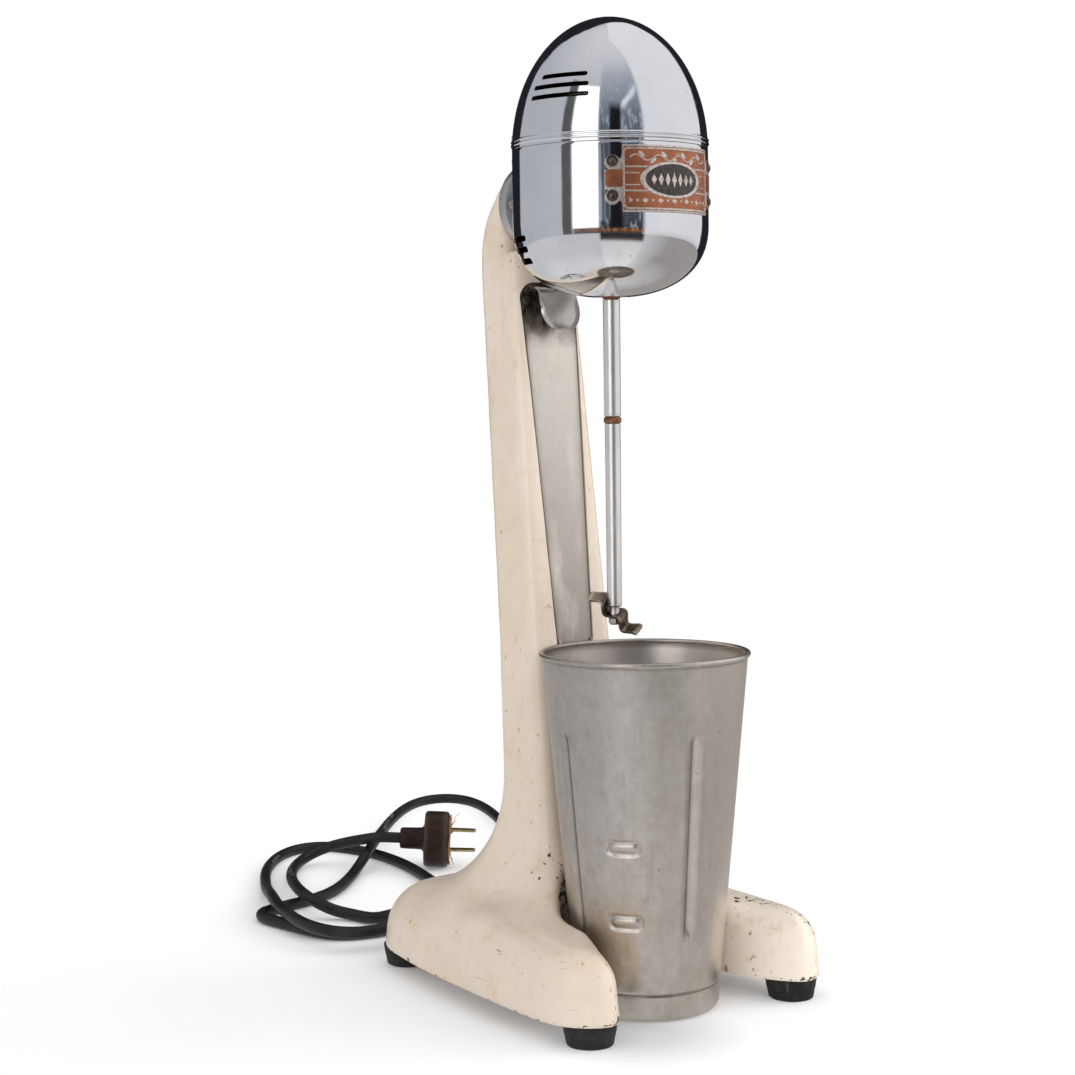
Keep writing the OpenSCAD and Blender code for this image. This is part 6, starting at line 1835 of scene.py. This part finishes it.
def floor():
    n = 96
    a = np.arange(n) * 2 * math.pi / n
    rad = [0.001, 0.2, 0.5, 0.9, 1.6]
    V = np.concatenate([np.column_stack([x * np.cos(a), x * np.sin(a) + 0.12, np.full(n, -0.00005)]) for x in rad]) * 1000
    ob = mesh("studio_floor", V, gq(len(rad), n, False, True), mats=("felt",), body=None, angle=None)
    m = Mat("floor_white")
    nt = m.nt
    x, y, z = m.xyz()
    yy = m.math("SUBTRACT", y, 130.0)
    r = m.math("SQRT", m.math("ADD", m.math("MULTIPLY", x, x), m.math("MULTIPLY", yy, yy)))
    d = nt.nodes.new("ShaderNodeBsdfDiffuse")
    gr = m.noise(0.02, 4, 0.6)
    # painted shadow on the floor beside the left leg, foot and cup
    cx, cy = m.math("ADD", x, 36.0), m.math("ADD", y, 64.0)
    rc = m.math("SQRT", m.math("ADD", m.math("MULTIPLY", cx, cx), m.math("MULTIPLY", cy, cy)))
    painted_floor_shadow = m.math("SUBTRACT", 1.0, step(m, rc, 14, 52))
    m.put(d.inputs[0], m.mix(painted_floor_shadow, m.mix(gr, (0.955, 0.955, 0.955), (0.985, 0.985, 0.985)), (0.62, 0.62, 0.62)))
    em = nt.nodes.new("ShaderNodeEmission")
    m.put(em.inputs[0], (1.0, 1.0, 1.0))
    mask = m.math("ADD", 0.06, m.math("MULTIPLY", 0.94, step(m, r, 150, 440)))
    sh = nt.nodes.new("ShaderNodeMixShader")
    nt.links.new(mask, sh.inputs[0])
    nt.links.new(d.outputs[0], sh.inputs[1])
    nt.links.new(em.outputs[0], sh.inputs[2])
    # what mirrors see: a pale table that ends, with darkness beyond
    em2 = nt.nodes.new("ShaderNodeEmission")
    rx = m.math("ADD", m.math("MULTIPLY", x, RV[0]), m.math("MULTIPLY", y, RV[1]))
    fy = m.math("ADD", m.math("MULTIPLY", x, FV[0]), m.math("MULTIPLY", y, FV[1]))
    az = m.math("MULTIPLY", m.math("ARCTAN2", rx, m.math("MULTIPLY", fy, -1.0)), 57.29578)
    cen = m.math("MULTIPLY", step(m, az, -16, -13), m.math("SUBTRACT", 1.0, step(m, az, 36, 40)))
    far = m.ramp(step(m, r, 250, 1500), [(0.0, (0.74, 0.735, 0.73)), (0.45, (0.66, 0.66, 0.66)), (0.60, (0.12, 0.10, 0.09)), (0.75, (0.03, 0.03, 0.033))])
    right = step(m, az, 40, 75)
    m.put(em2.inputs[0], m.mix(cen, m.mix(right, (0.60, 0.60, 0.61), (0.36, 0.335, 0.32)), far))
    g = nt.nodes.new("ShaderNodeMixShader")
    nt.links.new(m.math("ADD", 0.70, m.math("MULTIPLY", 0.30, step(m, r, 160, 420))), g.inputs[0])
    nt.links.new(d.outputs[0], g.inputs[1])
    nt.links.new(em2.outputs[0], g.inputs[2])
    lp = nt.nodes.new("ShaderNodeLightPath")
    top = nt.nodes.new("ShaderNodeMixShader")
    nt.links.new(lp.outputs["Is Glossy Ray"], top.inputs[0])
    nt.links.new(sh.outputs[0], top.inputs[1])
    nt.links.new(g.outputs[0], top.inputs[2])
    nt.links.new(top.outputs[0], m.out.inputs[0])
    ob.data.materials.clear()
    ob.data.materials.append(m.mat)


floor()


def area(name, loc, target, size, power, col=(1, 1, 1), spec=0.0):
    ld = bpy.data.lights.new(name, "AREA")
    ld.shape = "RECTANGLE"
    ld.size, ld.size_y = size
    ld.energy = power
    ld.color = col
    ld.specular_factor = spec
    ob = bpy.data.objects.new(name, ld)
    ob.location = loc
    ob.rotation_mode = "QUATERNION"
    ob.rotation_quaternion = (Vector(target) - Vector(loc)).to_track_quat("-Z", "Y")
    ob.visible_glossy = False
    ob.visible_camera = False
    scene.collection.objects.link(ob)
    return ob


# soft key from the camera's left, weaker fill from its right
area("key", (-1.7, -0.35, 1.15), (0, 0.05, 0.2), (1.4, 1.4), 2.5)
area("fill", (1.3, -1.2, 1.0), (0, 0, 0.2), (1.2, 1.2), 7.5)
area("side", (1.8, -0.6, 0.95), (0.06, -0.03, 0.1), (1.1, 1.1), 9.0)
area("front", (-0.35, -1.9, 0.75), (0.03, 0, 0.1), (0.9, 0.9), 6.0)

cam_data = bpy.data.cameras.new("photo_camera")
cam = bpy.data.objects.new("photo_camera", cam_data)
scene.collection.objects.link(cam)
rv = Vector(RV)
xc = (rv - Vector((0, 0, 0.0103))).normalized()
zc = -Vector(FV).normalized()
yc = zc.cross(xc).normalized()
cam.matrix_world = Matrix(((xc.x, yc.x, zc.x, -0.6954), (xc.y, yc.y, zc.y, -0.8725), (xc.z, yc.z, zc.z, 0.309), (0, 0, 0, 1)))
cam_data.sensor_width = 36.0
cam_data.lens = 74.18
cam_data.shift_x = 0.0015
cam_data.shift_y = -0.1465
cam_data.clip_start, cam_data.clip_end = 0.05, 20
scene.camera = cam
scene.view_settings.view_transform = "Standard"
scene.view_settings.look = "None"
scene.view_settings.exposure = 0
scene.cycles.max_bounces = 8
scene.cycles.diffuse_bounces = 3
scene.cycles.glossy_bounces = 5
